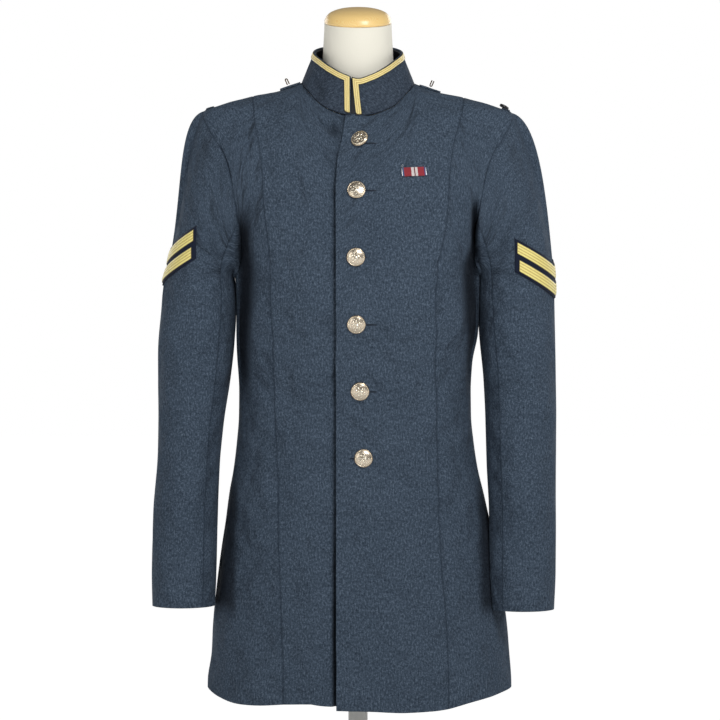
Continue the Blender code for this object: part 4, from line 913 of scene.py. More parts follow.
@dataclass
class BodyPanels:
    """The six panels of the torso: two fronts, two side fronts and two backs."""

    torso: Torso
    front_columns: int = 9
    side_columns: int = 5
    back_columns: int = 11
    neck_columns: int = 6
    back_neck_columns: int = 5
    hem_blend: float = 60.0
    hem_side: float = 2.0
    lap_dip: float = 3.0
    lap_clear: float = 4.0
    lap_over: float = 30.0
    lap_tuck: float = 0.7
    lap_groove: float = 3.6
    parts: int = 6

    def __post_init__(self) -> None:
        """Share out the rows: how far each one follows the hem, and its way up from the underarm."""
        count = len(ARMHOLE_FRONT) - 1
        self.rows = np.pad(np.array(ROWS, float), (0, count), "edge")
        self.low = np.pad(np.maximum(0.0, 1 - np.array(ROWS) / self.hem_blend), (0, count))
        self.high = np.pad(np.arange(1, count + 1) / count, (len(ROWS), 0))

    def heights(self, hem: float, top: float, power: float) -> Array:
        """Heights of the rows up a seam, over an uneven hem."""
        above = top - (top - self.torso.underarm) * (1 - self.high) ** power
        return np.where(self.high > 0, above, self.rows + hem * self.low)

    def seam(self, path: Table, top: float, power: float, hem: float) -> Array:
        """Map places up a front seam given as x against height."""
        height = self.heights(hem, top, power)
        return self.torso.to_map(Curve(path)(height) - self.torso.centre_x(height), height, False)

    def arm_seam(self, points: Table, side: Side, back: bool) -> Array:
        """Map places up the side seam and then round the armhole to the shoulder tip."""
        torso, low = self.torso, self.heights(self.hem_side, 0.0, 1.0)[: len(ROWS)]
        seam = np.stack([0 * low + side.value * math.pi / 2, torso.rise(torso.half_width(low), low)], -1)
        y, height = np.array(points[1:], float).T
        x = side.value * torso.half_width_at(y, height)
        return np.concatenate([seam, torso.to_map(x, height, back)])

    def hem(self, table: Table, first: Array, last: Array, columns: int) -> Array:
        """Map places along a hem between two seams."""
        line, torso = Curve(table), self.torso
        angle = blend(first[0][0], last[0][0], np.linspace(0, 1, columns + 1))
        height = 0 * angle
        for _ in range(4):
            height = line(torso.half_width(height) * np.sin(angle) + torso.centre_x(height))
        return np.stack([angle, torso.rise(torso.half_width(height) * np.sin(angle), height)], -1)

    def fill(self, first: Array, last: Array, bottom: Array, top: Array) -> Array:
        """Fill in the map between two seams, a hem and a top edge."""
        t = np.linspace(0, 1, len(bottom))[:, None]
        lift, drop = bottom - blend(first[0], last[0], t), top - blend(first[-1], last[-1], t)
        low, high = self.low[:, None, None], self.high[:, None, None]
        return blend(first[:, None], last[:, None], t) + low * lift + high**2 * drop

    def shoulder(self, x: Array) -> Array:
        """Map places along the front of the shoulder line."""
        return np.stack([np.arcsin(x / self.torso.map_reach), np.ones_like(x)], -1)

    def lap(self, points: Array, normals: Array) -> tuple[Array, Array]:
        """Sink the under front behind the upper one, and say how dark each point is there."""
        x, height = points[..., 0], points[..., 2]
        past = x - Curve(UPPER_EDGE)(height) + self.lap_clear
        groove = self.lap_groove * (1 + 2 * ease(1 - height / 300)) * ease((past + 2.5) / 4.5)
        sunk = self.lap_dip * ease((past + self.lap_over) / self.lap_over)
        sunk = sunk + groove * ease((705 - height) / 60)
        # Painted shadow of the upper front's edge on the under front, darker towards the hem.
        shade = ease((past + 3) / 5) * (0.3 + 0.6 * ease(1 - height / 450))
        points = points - normals * sunk[..., None]
        points[-1, :, 2] += sunk[-1] * self.lap_tuck
        # The spot added on return is a painted shade of the fold below the collar.
        return points, shade + 0.5 * spot_of_shade(x + 31, 9, height - 717, 11)

    def cut(self, places: Array, seams: Sequence[str], breaks: Sequence[int], dip: bool = False) -> Cloth:
        """Cut one panel from its coarse map places.

        Args:
            places: The coarse grid of the map.
            seams: The panel's sewn edges.
            breaks: The column where its top edge turns a corner.
            dip: Whether it is the under front.

        Returns:
            The panel's cloth, with its creases pressed in.
        """
        rows, columns = places.shape[:2]
        down = finer_index(rows - 1, self.parts, (0.02, 0.06, 0.13))
        across = finer_index(columns - 1, self.parts, CUT_ENDS)
        fine = between(places, down, [len(ROWS) - 1])
        fine = np.swapaxes(between(np.swapaxes(fine, 0, 1), across, breaks), 0, 1)
        points, normals = self.torso.surface(fine), self.torso.normal(fine)
        x, y, height = np.moveaxis(points, -1, 0)
        front, back = crease_depth(FRONT_CREASES, x, height), crease_depth(BACK_CREASES, x, height)
        points = points + normals * np.where(y > 0, back, front)[..., None]
        shade = self.torso.arm_shade(points)
        points = self.torso.valley(points)
        if dip:
            points, more = self.lap(points, normals)
            shade = shade + more
        return Cloth(points, normals, WOOL, seams, shade=np.clip(shade, 0, 1))

    def front(self, side: Side) -> tuple[Cloth, Cloth]:
        """Cut one front and its side front."""
        torso, s, under = self.torso, side.value, side is Side.RIGHT
        edge, path, hem = UPPER_EDGE, PRINCESS_LEFT, HEM_UPPER
        if under:
            edge, path, hem = UNDER_EDGE, PRINCESS_RIGHT, HEM_UNDER
        line, neck_side, seam_x = Curve(hem), s * torso.neck_half_width, path[-1][1]
        start = math.degrees(math.asin(edge[-1][1] / torso.neck_half_width))
        turn = start + (s * 90 - start) * (np.arange(self.neck_columns) / self.neck_columns) ** 0.9
        free = self.seam(edge, float(torso.neckline(abs(start))), 1.3, float(line(edge[0][1])))
        top_height = float(torso.shoulder_height(np.float64(abs(seam_x))))
        long_seam = self.seam(path, top_height, 2, float(line(path[0][1])))
        long_seam[-1, 1] = 1.0
        neck = torso.neck_point(turn)
        beyond = self.shoulder(np.linspace(neck_side, seam_x, self.front_columns - self.neck_columns + 1))
        top = np.concatenate([torso.to_map(neck[:, 0], neck[:, 2], False), beyond])
        top[-1] = long_seam[-1]
        places = self.fill(free, long_seam, self.hem(hem, free, long_seam, self.front_columns), top)
        main = self.cut(places, ("right", "top"), [self.neck_columns], under)

        arm = self.arm_seam(ARMHOLE_FRONT, side, False)
        top = self.shoulder(np.linspace(seam_x, s * torso.tip_x, self.side_columns + 1))
        top[0], top[-1] = long_seam[-1], arm[-1]
        places = self.fill(long_seam, arm, self.hem(hem, long_seam, arm, self.side_columns), top)
        return main, self.cut(places, ("left", "right", "top"), [])

    def back(self, side: Side) -> Cloth:
        """Cut one back, from the side seam to the centre back seam."""
        torso, s = self.torso, side.value
        arm = self.arm_seam(ARMHOLE_BACK, side, True)
        height = self.heights(self.hem_side, NECKLINE[-1][1], 1.3)
        centre = np.stack([0 * height + s * math.pi, torso.rise(0 * height, height)], -1)
        angles = s * math.pi / 2 * np.linspace(1, 2, self.back_columns + 1)
        x = torso.half_width(self.hem_side) * np.sin(angles)
        bottom = np.stack([angles, torso.rise(x, self.hem_side)], -1)
        corner = self.back_columns - self.back_neck_columns
        shoulder = self.shoulder(np.linspace(torso.tip_x, torso.neck_half_width, corner + 1))
        neck = torso.neck_point(np.linspace(90, 180, self.back_neck_columns + 1)[1:])
        nape = torso.to_map(neck[:, 0], neck[:, 2], True)
        top = np.concatenate([shoulder * (-1, 1) + (math.pi, 0), nape]) * (s, 1)
        top[0], top[-1] = arm[-1], centre[-1]
        return self.cut(self.fill(arm, centre, bottom, top), ("left", "right", "top"), [corner])

    def build(self, room: Workroom) -> None:
        """Make all six panels and hand them over."""
        for side in Side:
            main, outer = self.front(side)
            for name, cloth in (("front", main), ("side_front", outer), ("back", self.back(side))):
                node = f"{name}_{side.word}"
                room.hang(cloth, f"wool_{node}", "tunic_wool", "wool", node)


# Sleeves: height, centre x, half width, centre y, half depth
SLEEVE_LEFT = (
    (106, 209.9, 41.0, -50, 44), (156, 210.4, 42.9, -45, 47), (228, 211.5, 43.0, -33, 51),
    (291, 210.8, 44.7, -21, 55), (346, 210.8, 45.8, -12, 58), (400, 209.6, 46.9, -6, 60),
    (450, 207, 49, -2, 63), (500, 204.8, 50.4, 1, 66), (529, 204, 51, 2, 67),
)
SLEEVE_RIGHT = (
    (110, 223.3, 40.0, -46, 44), (156, 223.0, 41.5, -40, 47), (228, 222.0, 41.6, -29, 51),
    (291, 218.8, 40.4, -19, 54), (346, 215.9, 42.5, -11, 57), (400, 212.3, 46.9, -6, 60),
    (450, 209.6, 49.4, -2, 63), (500, 206.2, 48.6, 1, 65), (529, 205.8, 46, 2, 66),
)


@dataclass
class Sleeve:
    """A two-piece set-in sleeve with its chevrons.

    Attributes:
        torso: The body that it is set into.
        side: Which arm it is.
        table: Its sections.
        lean: How far the cap leans in as it leaves the arm.
        roll: How far it rolls over into its seam.
        chevron: Centre angle, height of the point and rise to the ends.
        chevron_cut: Distance of the bars' ends from the garment's middle plane.
        creases: Its front creases.
        ground: The felt's gap from the sleeve, thickness and crown, as patch takes them.
        bar: The same of a braid bar.
    """

    torso: Torso
    side: Side
    table: Table
    lean: float
    roll: float
    chevron: Sequence[float]
    chevron_cut: float
    creases: Table
    cap_rise: float = 1.16
    front_seam: int = 3
    back_seam: int = 4
    body_clear: float = 0.9
    cap_tuck: float = 0.45
    tuck: float = 1.7
    tuck_at: float = 42.0
    fold_gap: float = 1.3
    bar_step: float = 22.0
    bar_height: float = 15.5
    ground_margin: float = 3.6
    ground_wider: float = 2.8
    lower_shorter: float = 2.7
    ground: tuple[float, float, float] = (0.2, 1.3, 0.0)
    bar: tuple[float, float, float] = (1.5, 1.4, 0.5)
    arm_rows: int = 72
    cap_rows: int = 64

    def __post_init__(self) -> None:
        """Turn the sections into curves and read the armhole's map places."""
        self.cuff, self.bicep = self.table[0][0], self.table[-1][0]
        self.cx, self.hw, self.cy, self.hd = [Curve(self.table, k) for k in (1, 2, 3, 4)]
        torso, s, tip = self.torso, self.side.value, len(ARMHOLE_FRONT) - 1
        y, height = np.array(ARMHOLE_FRONT + ARMHOLE_BACK[-2:0:-1], float).T
        self.count = len(y)
        x = torso.half_width_at(y, height)
        x[tip] = torso.tip_x
        places = torso.to_map(s * x, height, np.arange(self.count) > tip)
        places[tip] = s * math.asin(torso.tip_x / torso.map_reach), 1.0
        self.loop = np.concatenate([np.stack([s * x, y, height], -1), torso.normal(places)], 1)

    def armhole(self, place: Array) -> tuple[Array, Array]:
        """Points and body normals round the armhole, from underarm by the front and back again."""
        place = place % self.count
        low = np.floor(place).astype(int) % self.count
        t = (place - np.floor(place))[..., None]
        before, here, after, beyond = [self.loop[(low + k) % self.count] for k in (-1, 0, 1, 2)]
        found = hermite(t, here, (after - before) / 2, after, (beyond - here) / 2)
        return found[..., :3], unit(found[..., 3:])

    def place(self, angle: Array) -> Array:
        """Place round the armhole that each angle runs up to, so that the underarm is tucked in behind."""
        away = (180 - angle) % 360
        turn = np.minimum(away, 360 - away)
        more = turn / self.tuck_at * np.exp(1 - turn / self.tuck_at) * (1 - (turn / 180) ** 2)
        place = turn / 360 * self.count + self.tuck * more
        return np.where(away <= 180, place, self.count - place)

    def section(self, angle: Array, height: Array) -> Array:
        """Points below the bicep. 0 degrees is outward and 90 is the front."""
        turn = np.radians(angle)
        x = self.cx(height) + self.hw(height) * np.cos(turn)
        y = self.cy(height) - self.hd(height) * np.sin(turn)
        body = self.torso.centre_x(height) * self.side.value
        body = body + self.torso.half_width_at(y, height) + self.body_clear
        return np.stack([self.side.value * np.maximum(x, body), y, height + 0 * x], -1)

    def cap(self, angle: Array, t: Array) -> Array:
        """Points of the cap, from the bicep at t = 0 to the armhole at t = 1."""
        start = self.section(angle, self.bicep + 0 * t)
        place = self.place(angle)
        end, normal = self.armhole(place)
        along = self.armhole(place + 1)[0] - self.armhole(place - 1)[0]
        inward = unit(np.cross(normal, along)) * self.side.value
        facing = (np.cos(np.radians(angle) / 2) ** 2)[..., None]
        reach = np.linalg.norm(end - start, axis=-1, keepdims=True)
        lean = -self.lean * self.side.value * np.maximum(0.0, np.cos(np.radians(angle)))
        slope = (start - self.section(angle, self.bicep - 8 + 0 * t)) / 8
        leave = (slope + np.stack([lean, 0 * lean, 0 * lean], -1)) * reach * self.cap_rise
        arrive = unit(blend(np.array(UP), inward, facing**0.6)) * reach * self.roll
        end = end + (inward - normal) * self.cap_tuck * facing + normal * self.fold_gap * (1 - facing)
        point = hermite(t[..., None], start, leave, end, arrive)
        body = self.torso.half_width_at(point[..., 1], point[..., 2]) + self.body_clear * (1 - t)
        under = (t < 1) & (point[..., 2] < 600) & (np.abs(angle % 360 - 180) < 80)
        under &= (np.abs(point[..., 0]) < body) & (point[..., 2] < end[..., 2])
        point[..., 0] = np.where(under, self.side.value * body, point[..., 0])
        return point

    def point(self, angle: Array, up: Array) -> Array:
        """Points of the sleeve: up is 0 at the cuff, 1 at the bicep and 2 at the armhole."""
        low = self.section(angle, self.cuff + (self.bicep - self.cuff) * np.clip(up, 0, 1))
        high = self.cap(angle, np.clip(up - 1, 0, 1))
        return np.where((up <= 1)[..., None], low, high)

    def normal(self, angle: Array, up: Array) -> Array:
        """Outward normals of the sleeve, turned along the body's at the armhole."""
        low, high = np.maximum(0.0, up - 0.01), np.minimum(2.0, up + 0.01)
        across = self.point(angle + 1.5, up) - self.point(angle - 1.5, up)
        upward = self.point(angle, high) - self.point(angle, low)
        outward = unit(np.cross(upward, across)) * self.side.value
        body = self.armhole(self.place(angle))[1]
        facing = np.cos(np.radians(angle) / 2) ** 2 * ease((up - 1.97) / 0.03)
        return unit(blend(outward, body, facing[..., None]))

    def up_at(self, angle: Array, height: Array) -> Array:
        """The sleeve's own upward coordinate of a height at each angle."""
        low, high = np.ones_like(angle), np.full_like(angle, 1.9)
        for _ in range(22):
            middle = (low + high) / 2
            below = self.cap(angle, middle - 1)[..., 2] < height
            low, high = np.where(below, middle, low), np.where(below, high, middle)
        return np.where(height <= self.bicep, (height - self.cuff) / (self.bicep - self.cuff), low)

    def pressed(self, angle: Array, up: Array) -> tuple[Array, Array]:
        """Points and normals with the sleeve's creases pressed in."""
        points, normals = self.point(angle, up), self.normal(angle, up)
        reach = np.abs(points[..., 0])
        front = crease_depth(self.creases, reach, points[..., 2])
        back = crease_depth(SLEEVE_BACK_CREASES, reach, points[..., 2])
        ahead = ease(0.5 + np.sin(np.radians(angle)) * 2)
        moved = blend(back, front, ahead) * ease((1.98 - up) / 0.1)
        return self.torso.valley(points + normals * moved[..., None]), normals

    def cut(self, first: int, last: int) -> Cloth:
        """Cut one piece of the sleeve between two armhole points."""
        ups = np.concatenate([np.linspace(0, 1, self.arm_rows), np.linspace(1, 2, self.cap_rows)[1:]])
        ups = np.sort(np.concatenate([ups, [0.002, 0.006, 1.993, 1.997]]))
        index = finer_index(last - first, 5, CUT_ENDS) + first
        angles = 180 - 360 * index / self.count
        angle, up = np.meshgrid(angles, ups)
        points, normals = self.pressed(angle, up)
        shade = self.torso.hollow_share(self.point(angle, up))
        return Cloth(points, normals, WOOL, ("left", "right", "top"), shade=shade)

    def patch(self, lines: Sequence[Array], off: float, thick: float, crown: float) -> Cloth:
        """Lay a patch on the sleeve.

        Args:
            lines: (angle, height) places along its lower edge and its upper edge.
            off: Its gap from the sleeve.
            thick: Its thickness.
            crown: How far its middle stands above its edges, if it is braid.

        Returns:
            The patch's cloth.
        """
        shares = np.linspace(0, 1, 13)[:, None, None]
        angle, height = np.moveaxis(blend(*lines, shares), -1, 0)
        points, normals = self.pressed(angle, self.up_at(angle, height))
        rounded = crown * (1 - np.abs(2 * shares[..., 0] - 1) ** 4)
        points = points + normals * (off + thick + rounded - crown)[..., None]
        return Cloth(points, normals, thick, ribbed=crown > 0)

    def bar_lines(self, low: float, high: float, cut: float) -> list[Array]:
        """Lower and upper edges of a chevron bar or its ground, its ends cut upright.

        Args:
            low: Height of its lower edge at the point.
            high: Height of its upper edge at the point.
            cut: Distance of its ends from the garment's middle plane.

        Returns:
            Places on the sleeve as (angle, height), for each edge.
        """
        centre, _, lift = self.chevron
        point_x = float(np.abs(self.point(np.array([centre]), np.array([1.0]))[0, 0]))
        lines = []
        for base in (low, high):
            angles = np.linspace(centre, centre + 100, 400)
            guess = base + lift * (angles - centre) / 75
            reach = np.abs(self.point(angles, self.up_at(angles, guess))[:, 0])
            share = np.clip((point_x - reach) / (point_x - self.chevron_cut), 0, 1.3)
            heights = base + lift * (0.35 * share + 0.65 * (angles - centre) / 75 * share**0.2)
            reach = np.abs(self.point(angles, self.up_at(angles, heights))[:, 0])
            last = int(np.argmax((reach < cut) & (angles > centre + 20)))
            places = np.linspace(0, last, 44)
            front = np.stack([np.interp(places, range(400), values) for values in (angles, heights)], -1)
            mirrored = front[:0:-1] * (-1, 1) + (2 * centre, 0)
            lines.append(np.concatenate([mirrored, front]))
        return lines

    def build(self, room: Workroom) -> None:
        """Make both sleeve pieces and the chevrons."""
        word = self.side.word
        spans = {
            "top_sleeve": (self.front_seam, self.count - self.back_seam),
            "under_sleeve": (-self.back_seam, self.front_seam),
        }
        for name, span in spans.items():
            node = f"{name}_{word}"
            under = f"wool_side_front_{word}"
            room.hang(self.cut(*span), f"wool_{node}", "tunic_wool", "wool", node)
        height = self.chevron[1]
        upper = (height - self.bar_height / 2, height + self.bar_height / 2)
        lower = (upper[0] - self.bar_step, upper[1] - self.bar_step)
        margin, cut, ground = self.ground_margin, self.chevron_cut, f"felt_ground_{word}"
        lines = self.bar_lines(lower[0] - margin, upper[1] + margin, cut - self.ground_wider)
        patch = self.patch(lines, *self.ground)
        node, under = f"chevron_ground_{word}", f"wool_top_sleeve_{word}"
        room.hang(patch, ground, "navy_felt", "navy", node)
        for label, bar, more in (("upper", upper, 0.0), ("lower", lower, self.lower_shorter)):
            patch = self.patch(self.bar_lines(*bar, cut + more), *self.bar)
            node = f"chevron_{label}_{word}"
            room.hang(patch, f"gold_bar_{label}_{word}", "sleeve_gold", "braid", node)


# Collar top edge: angle round the neck, height
COLLAR_TOP = ((0, 783), (17, 788.5), (39, 800), (60, 812), (90, 824), (125, 834), (180, 842))


@dataclass
class Collar:
    """The stand band with its lining and gold braid."""

    torso: Torso
    top_half_width: float = 57.0
    top_front: float = 66.0
    top_back: float = 52.0
    tall: float = 48.0
    lift: float = 0.1
    end_left: tuple[float, float] = (-2.6, -8.2)
    end_right: tuple[float, float] = (352.9, 350.6)
    braid_edge: float = 0.9
    braid_width: float = 7.6

    def __post_init__(self) -> None:
        """Turn the top edge into a curve."""
        self.top = Curve(COLLAR_TOP + tuple((-a, z) for a, z in COLLAR_TOP[1:3]))

    def point(self, angle: Array, share: Array) -> Array:
        """Points from the neck seam at share 0 to the top edge at 1."""
        angle = np.where(angle > 180, angle - 360, angle)
        turn = np.radians(angle)
        base = self.torso.neck_point(angle) + np.array([0, 0, self.lift])
        depth = np.where(np.abs(angle) < 90, self.top_front, self.top_back)
        x, y = self.top_half_width * np.sin(turn), -depth * np.cos(turn)
        edge = np.stack([x, y, self.top(np.abs(angle))], -1)
        return base + (edge - base) * share[..., None]

    def normal(self, angle: Array, share: Array) -> Array:
        """Outward normals."""
        across = self.point(angle + 1, share) - self.point(angle - 1, share)
        upward = self.point(angle, 1 + 0 * share) - self.point(angle, 0 * share)
        return unit(np.cross(across, upward))

    def ends(self, share: Array) -> tuple[Array, Array]:
        """Angles of both ends of the band at a share of the way up."""
        return blend(*self.end_left, share), blend(*self.end_right, share)

    def strip(
        self, more: Sequence[float], rows: Sequence[float], off: float, thick: float, lap: float = 0.0
    ) -> Cloth:
        """Cut a band of the collar.

        Args:
            more: Degrees added to its first and last ends.
            rows: Its lowest and highest shares of the way up.
            off: Its face's distance from the collar's.
            thick: Its thickness.
            lap: How far the part past the opening drops behind.

        Returns:
            The band's cloth.
        """
        run, share = np.meshgrid(np.linspace(0, 1, 190), np.linspace(*rows, 22))
        first, last = self.ends(share)
        angle = blend(first + more[0], last + more[1], run)
        normals = self.normal(angle, share)
        off = off - lap * ease((first + 4 - angle) / 4)
        points = self.point(angle, share) + normals * off[..., None]
        return Cloth(points, normals, thick, ("bottom",), 0.3)

    def braid(self) -> Cloth:
        """Cut the braid that runs up one front edge, round the top and down the other."""
        outer_in, inner_in = self.braid_edge, self.braid_edge + self.braid_width

        def turned(distance: float, down: Array) -> Array:
            """Degrees that a distance takes up at a depth below the top edge."""
            share = 1 - down / self.tall
            reach = blend(self.torso.neck_half_width, self.top_half_width, share)
            return np.degrees(distance / reach)

        foot = self.tall - 1.0
        run = np.linspace(0, 1, 150)
        rails = []
        for inset in (inner_in, outer_in):
            down = np.linspace(foot, inset, 16)
            left, right = self.ends(1 - down / self.tall)
            start = np.stack([left + turned(inset, down), down], -1)
            end = np.stack([right - turned(inset, down), down], -1)[::-1]
            across = blend(start[-1, 0], end[0, 0], run)
            rails.append(np.concatenate([start, np.stack([across, inset + 0 * across], -1)[1:-1], end]))
        shares = np.linspace(0, 1, 9)[:, None, None]
        angle, down = np.moveaxis(blend(*rails, shares), -1, 0)
        length = np.linalg.norm(self.point(angle, 1 + 0 * angle) - self.point(angle, 0 * angle), axis=-1)
        share = np.maximum(0.02, 1 - down / length)
        normals = self.normal(angle, share)
        crown = 0.35 * (1 - np.abs(2 * shares[..., 0] - 1) ** 4)
        points = self.point(angle, share) + normals * (1.2 + crown)[..., None]
        return Cloth(points, normals, 1.1, ribbed=True)

    def build(self, room: Workroom) -> None:
        """Make the band, its lining and the braid."""
        band = self.strip((0, 0), (0.0, 1.0), 0.0, 1.8)
        room.hang(band, "wool_collar_band", "collar_wool", "wool_collar", "collar")
        lining = self.strip((-12, -0.4), (0.0, 0.96), -2.1, 0.8, 1.6)
        name, under = "satin_collar_lining", "wool_collar_band"
        room.hang(lining, name, "dark_lining", "lining", "collar_lining")
        name, braid = "gold_collar_braid", self.braid()
        room.hang(braid, name, "collar_gold", "braid", "collar_braid")


def turned_piece(
    name: str, profile: Table, steps: int, detail: int = 4, breaks: Sequence[int] = ()
) -> Piece:
    """Turn a solid by extruding a disc ring by ring.

    Args:
        name: The new object's name.
        profile: (radius, height) in millimetres from the bottom edge up to the top pole.
        steps: Sides of each ring.
        detail: Rings made for each step of the profile.
        breaks: Profile steps that stay sharp.

    Returns:
        The new object, standing on the origin.
    """
    rows = np.array(profile, float)
    fine = between(rows, np.linspace(0, len(rows) - 1, (len(rows) - 1) * detail + 1), breaks)
    radii, heights = np.maximum(fine[:, 0], 0.02) * MM, fine[:, 1] * MM
    bpy.ops.object.select_all(action="DESELECT")
    foot = (0, 0, heights[0])
    bpy.ops.mesh.primitive_circle_add(vertices=steps, radius=radii[0], fill_type="NGON", location=foot)
    piece = bpy.context.object
    piece.name = name
    bpy.ops.object.transform_apply(location=True)
    bpy.ops.object.mode_set(mode="EDIT")
    for k in range(1, len(radii)):
        step = (0, 0, heights[k] - heights[k - 1])
        bpy.ops.mesh.extrude_region_move(TRANSFORM_OT_translate={"value": step})
        grow = radii[k] / radii[k - 1]
        bpy.ops.transform.resize(value=(grow, grow, 1), center_override=(0, 0, heights[k]))
    bpy.ops.mesh.merge(type="CENTER")
    bpy.ops.mesh.select_all(action="SELECT")
    bpy.ops.mesh.normals_make_consistent(inside=False)
    bpy.ops.object.mode_set(mode="OBJECT")
    piece.data.shade_smooth()
    return piece


def place_mesh(piece: Piece, spot: Array, axis: Vector, spin: float = 0.0) -> None:
    """Put a piece's own mesh in its place, its +Z along an axis."""
    turn = UP.rotation_difference(axis.normalized()).to_matrix().to_4x4()
    piece.data.transform(Matrix.Translation(Vector(spot)) @ turn @ Matrix.Rotation(spin, 4, "Z"))


def ring_faces(rings: int, sides: int) -> list[tuple[int, ...]]:
    """Faces between rings of points, each ring closed on itself."""
    faces = []
    for low in range(0, (rings - 1) * sides, sides):
        for i in range(sides):
            k = (i + 1) % sides
            faces.append((low + i, low + k, low + sides + k, low + sides + i))
    return faces


def tube(path: Array, radius: float, sides: int = 6) -> tuple[Array, list]:
    """A closed round tube along a path, for threads and wire.

    Args:
        path: Points in millimetres.
        radius: The tube's radius in millimetres.
        sides: Sides of each ring.

    Returns:
        Its points and faces.
    """
    along = unit(np.gradient(path, axis=0))
    first = unit(np.cross(along, np.array([0.31, 0.13, 0.94])))
    second = np.cross(along, first)
    turn = np.arange(sides) / sides * 2 * math.pi
    ring = first[:, None] * np.cos(turn)[:, None] + second[:, None] * np.sin(turn)[:, None]
    points = (path[:, None] + ring * radius).reshape(-1, 3)
    ends = [tuple(reversed(range(sides))), tuple(range(len(points) - sides, len(points)))]
    return points, ring_faces(len(path), sides) + ends


def join_tubes(name: str, tubes: Sequence[tuple[Array, list]]) -> Piece:
    """Make one object of several tubes."""
    points, faces = [], []
    for some, more in tubes:
        base = sum(len(p) for p in points)
        points.append(some)
        faces += [tuple(base + i for i in face) for face in more]
    return new_piece(name, np.concatenate(points), faces)


# Buttons down the front: x, height
BUTTONS = ((3.5, 702), (-1.9, 637), (-2.6, 552.5), (-2.0, 468.5), (2.6, 384.5), (7.0, 300.5))


@dataclass
class Buttons:
    """Six stamped dome buttons and their buttonholes."""

    torso: Torso
    radius: float = 11.6
    off: float = 0.6
    top_off: float = 3.0
    top_tip: tuple[float, float, float] = (-0.42, 0.0, 0.1)
    beads: int = 40
    leaves: Table = (
        (1.5, (90,), 0.0, (3.4, 1.35, 0.9)),
        (3.4, (35, 145), 0.35, (2.7, 1.15, 0.75)),
        (4.6, (-20, 200), -0.3, (2.4, 1.0, 0.7)),
        (6.6, (62, 118), 0.9, (1.9, 0.9, 0.6)),
        (6.9, (8, 172), 1.2, (1.7, 0.8, 0.55)),
        (5.0, (-68, 248), 0.2, (2.2, 0.9, 0.65)),
        (7.4, (-45, 225), 1.4, (1.6, 0.75, 0.5)),
        (2.2, (270,), 1.57, (1.5, 1.1, 0.85)),
    )
    hole_start: float = -1.0
    hole_end: float = 22.5
    stitch: float = 1.2
    stitch_gap: float = 0.6

    def dome(self, reach: float) -> float:
        """Height of the dome at a distance from its middle."""
        return 4.9 - 2.1 * (reach / self.radius) ** 2 - 0.7 * (reach / self.radius) ** 6

    def add_bump(
        self, reach: float, around: Sequence[float], turn: float, size: Sequence[float], lift: float = 0.0
    ) -> None:
        """Add raised ovals in edit mode.

        Args:
            reach: Their distance from the middle.
            around: Degrees round the button of each one.
            turn: How far each is turned from pointing outward.
            size: Half length, half width and height.
            lift: How far they stand above the dome.
        """
        spot = (reach * MM, 0.0, (self.dome(reach) + lift) * MM)
        bpy.ops.mesh.select_all(action="DESELECT")
        bpy.ops.mesh.primitive_uv_sphere_add(segments=10, ring_count=6, radius=MM, location=spot)
        bpy.ops.transform.resize(value=tuple(size), center_override=spot)
        slope = math.atan2(self.dome(reach - 0.5) - self.dome(reach + 0.5), 1.0)
        bpy.ops.transform.rotate(value=turn, orient_axis="Z", center_override=spot)
        bpy.ops.transform.rotate(value=-slope, orient_axis="Y", center_override=spot)
        for k, degrees in enumerate(around):
            if k:
                bpy.ops.mesh.duplicate()
            step = math.radians(degrees - (around[k - 1] if k else 0.0))
            bpy.ops.transform.rotate(value=step, orient_axis="Z", center_override=(0, 0, 0))

    def stamp(self) -> Piece:
        """Model the first button: a dome with a beaded rim and a spray of leaves."""
        r = self.radius
        profile = [(0.86 * r, 0.0), (0.97 * r, 0.5), (r, 1.2), (0.985 * r, 1.9), (0.93 * r, 2.35)]
        profile += [(0.895 * r, 2.2), (0.87 * r, 2.25)]
        profile += [(f * r, self.dome(f * r)) for f in (0.82, 0.7, 0.5, 0.3, 0.12, 0.0)]
        button = turned_piece("button_dome_1", profile, 56, 3, (4,))
        bpy.ops.object.mode_set(mode="EDIT")
        for reach, around, turn, size in self.leaves:
            self.add_bump(reach, around, turn, size)
        around = [k * 360 / self.beads for k in range(self.beads)]
        self.add_bump(0.855 * r, around, 0.0, (0.5, 0.5, 0.4), -0.05)
        bpy.ops.object.mode_set(mode="OBJECT")
        mesh = button.data
        mesh.shade_smooth()
        spots = spots_of(mesh) / MM
        reach = np.hypot(spots[:, 0], spots[:, 1])
        above = spots[:, 2] - self.dome(np.minimum(reach, 0.86 * r))
        field_share = 0.55 * (1 - ease(above / 0.5)) * (reach < 0.84 * r)
        # Darker patina in the low field between the leaves; the rim is a painted dark reflection.
        store(mesh, "recess", field_share + 0.8 * ease((reach - 0.86 * r) / (0.1 * r)))
        return button

    def buttonhole(self, number: int, start: float, end: float, height: float, room: Workroom) -> None:
        """Work one buttonhole: a slit bound with close stitches and a fan at its front end."""
        marks = np.arange(start + 0.5, end, self.stitch_gap)
        runs = [(x, s * math.pi / 2) for s in (-1, 1) for x in marks]
        runs += [(end, turn) for turn in np.linspace(-1.2, 1.2, 6)]
        foot, turn = np.array(runs).T[:, :, None]
        reach = np.array([0.08, 0.35, 0.8, self.stitch])
        lift = np.array([-0.15, 0.1, 0.1, -0.2])[:, None]
        points, normals = self.torso.chest(foot + reach * np.cos(turn), height + reach * np.sin(turn))
        tubes = [tube(path, 0.26, 5) for path in points + normals * lift]
        room.hand_over(join_tubes(f"buttonhole_{number}", tubes), "thread", "wool")
        xs = np.linspace(start, end, 24)
        wide = 0.16 * np.sin(np.linspace(0.25, math.pi - 0.1, 24)) + 0.05
        points, normals = self.torso.chest(np.stack([xs, xs]), height + np.stack([-wide, wide]))
        slit = Cloth(points + normals * 0.22, normals, 0.3)
        room.hand_over(slit.build(f"buttonhole_slit_{number}"), "slit_shadow", "wool")

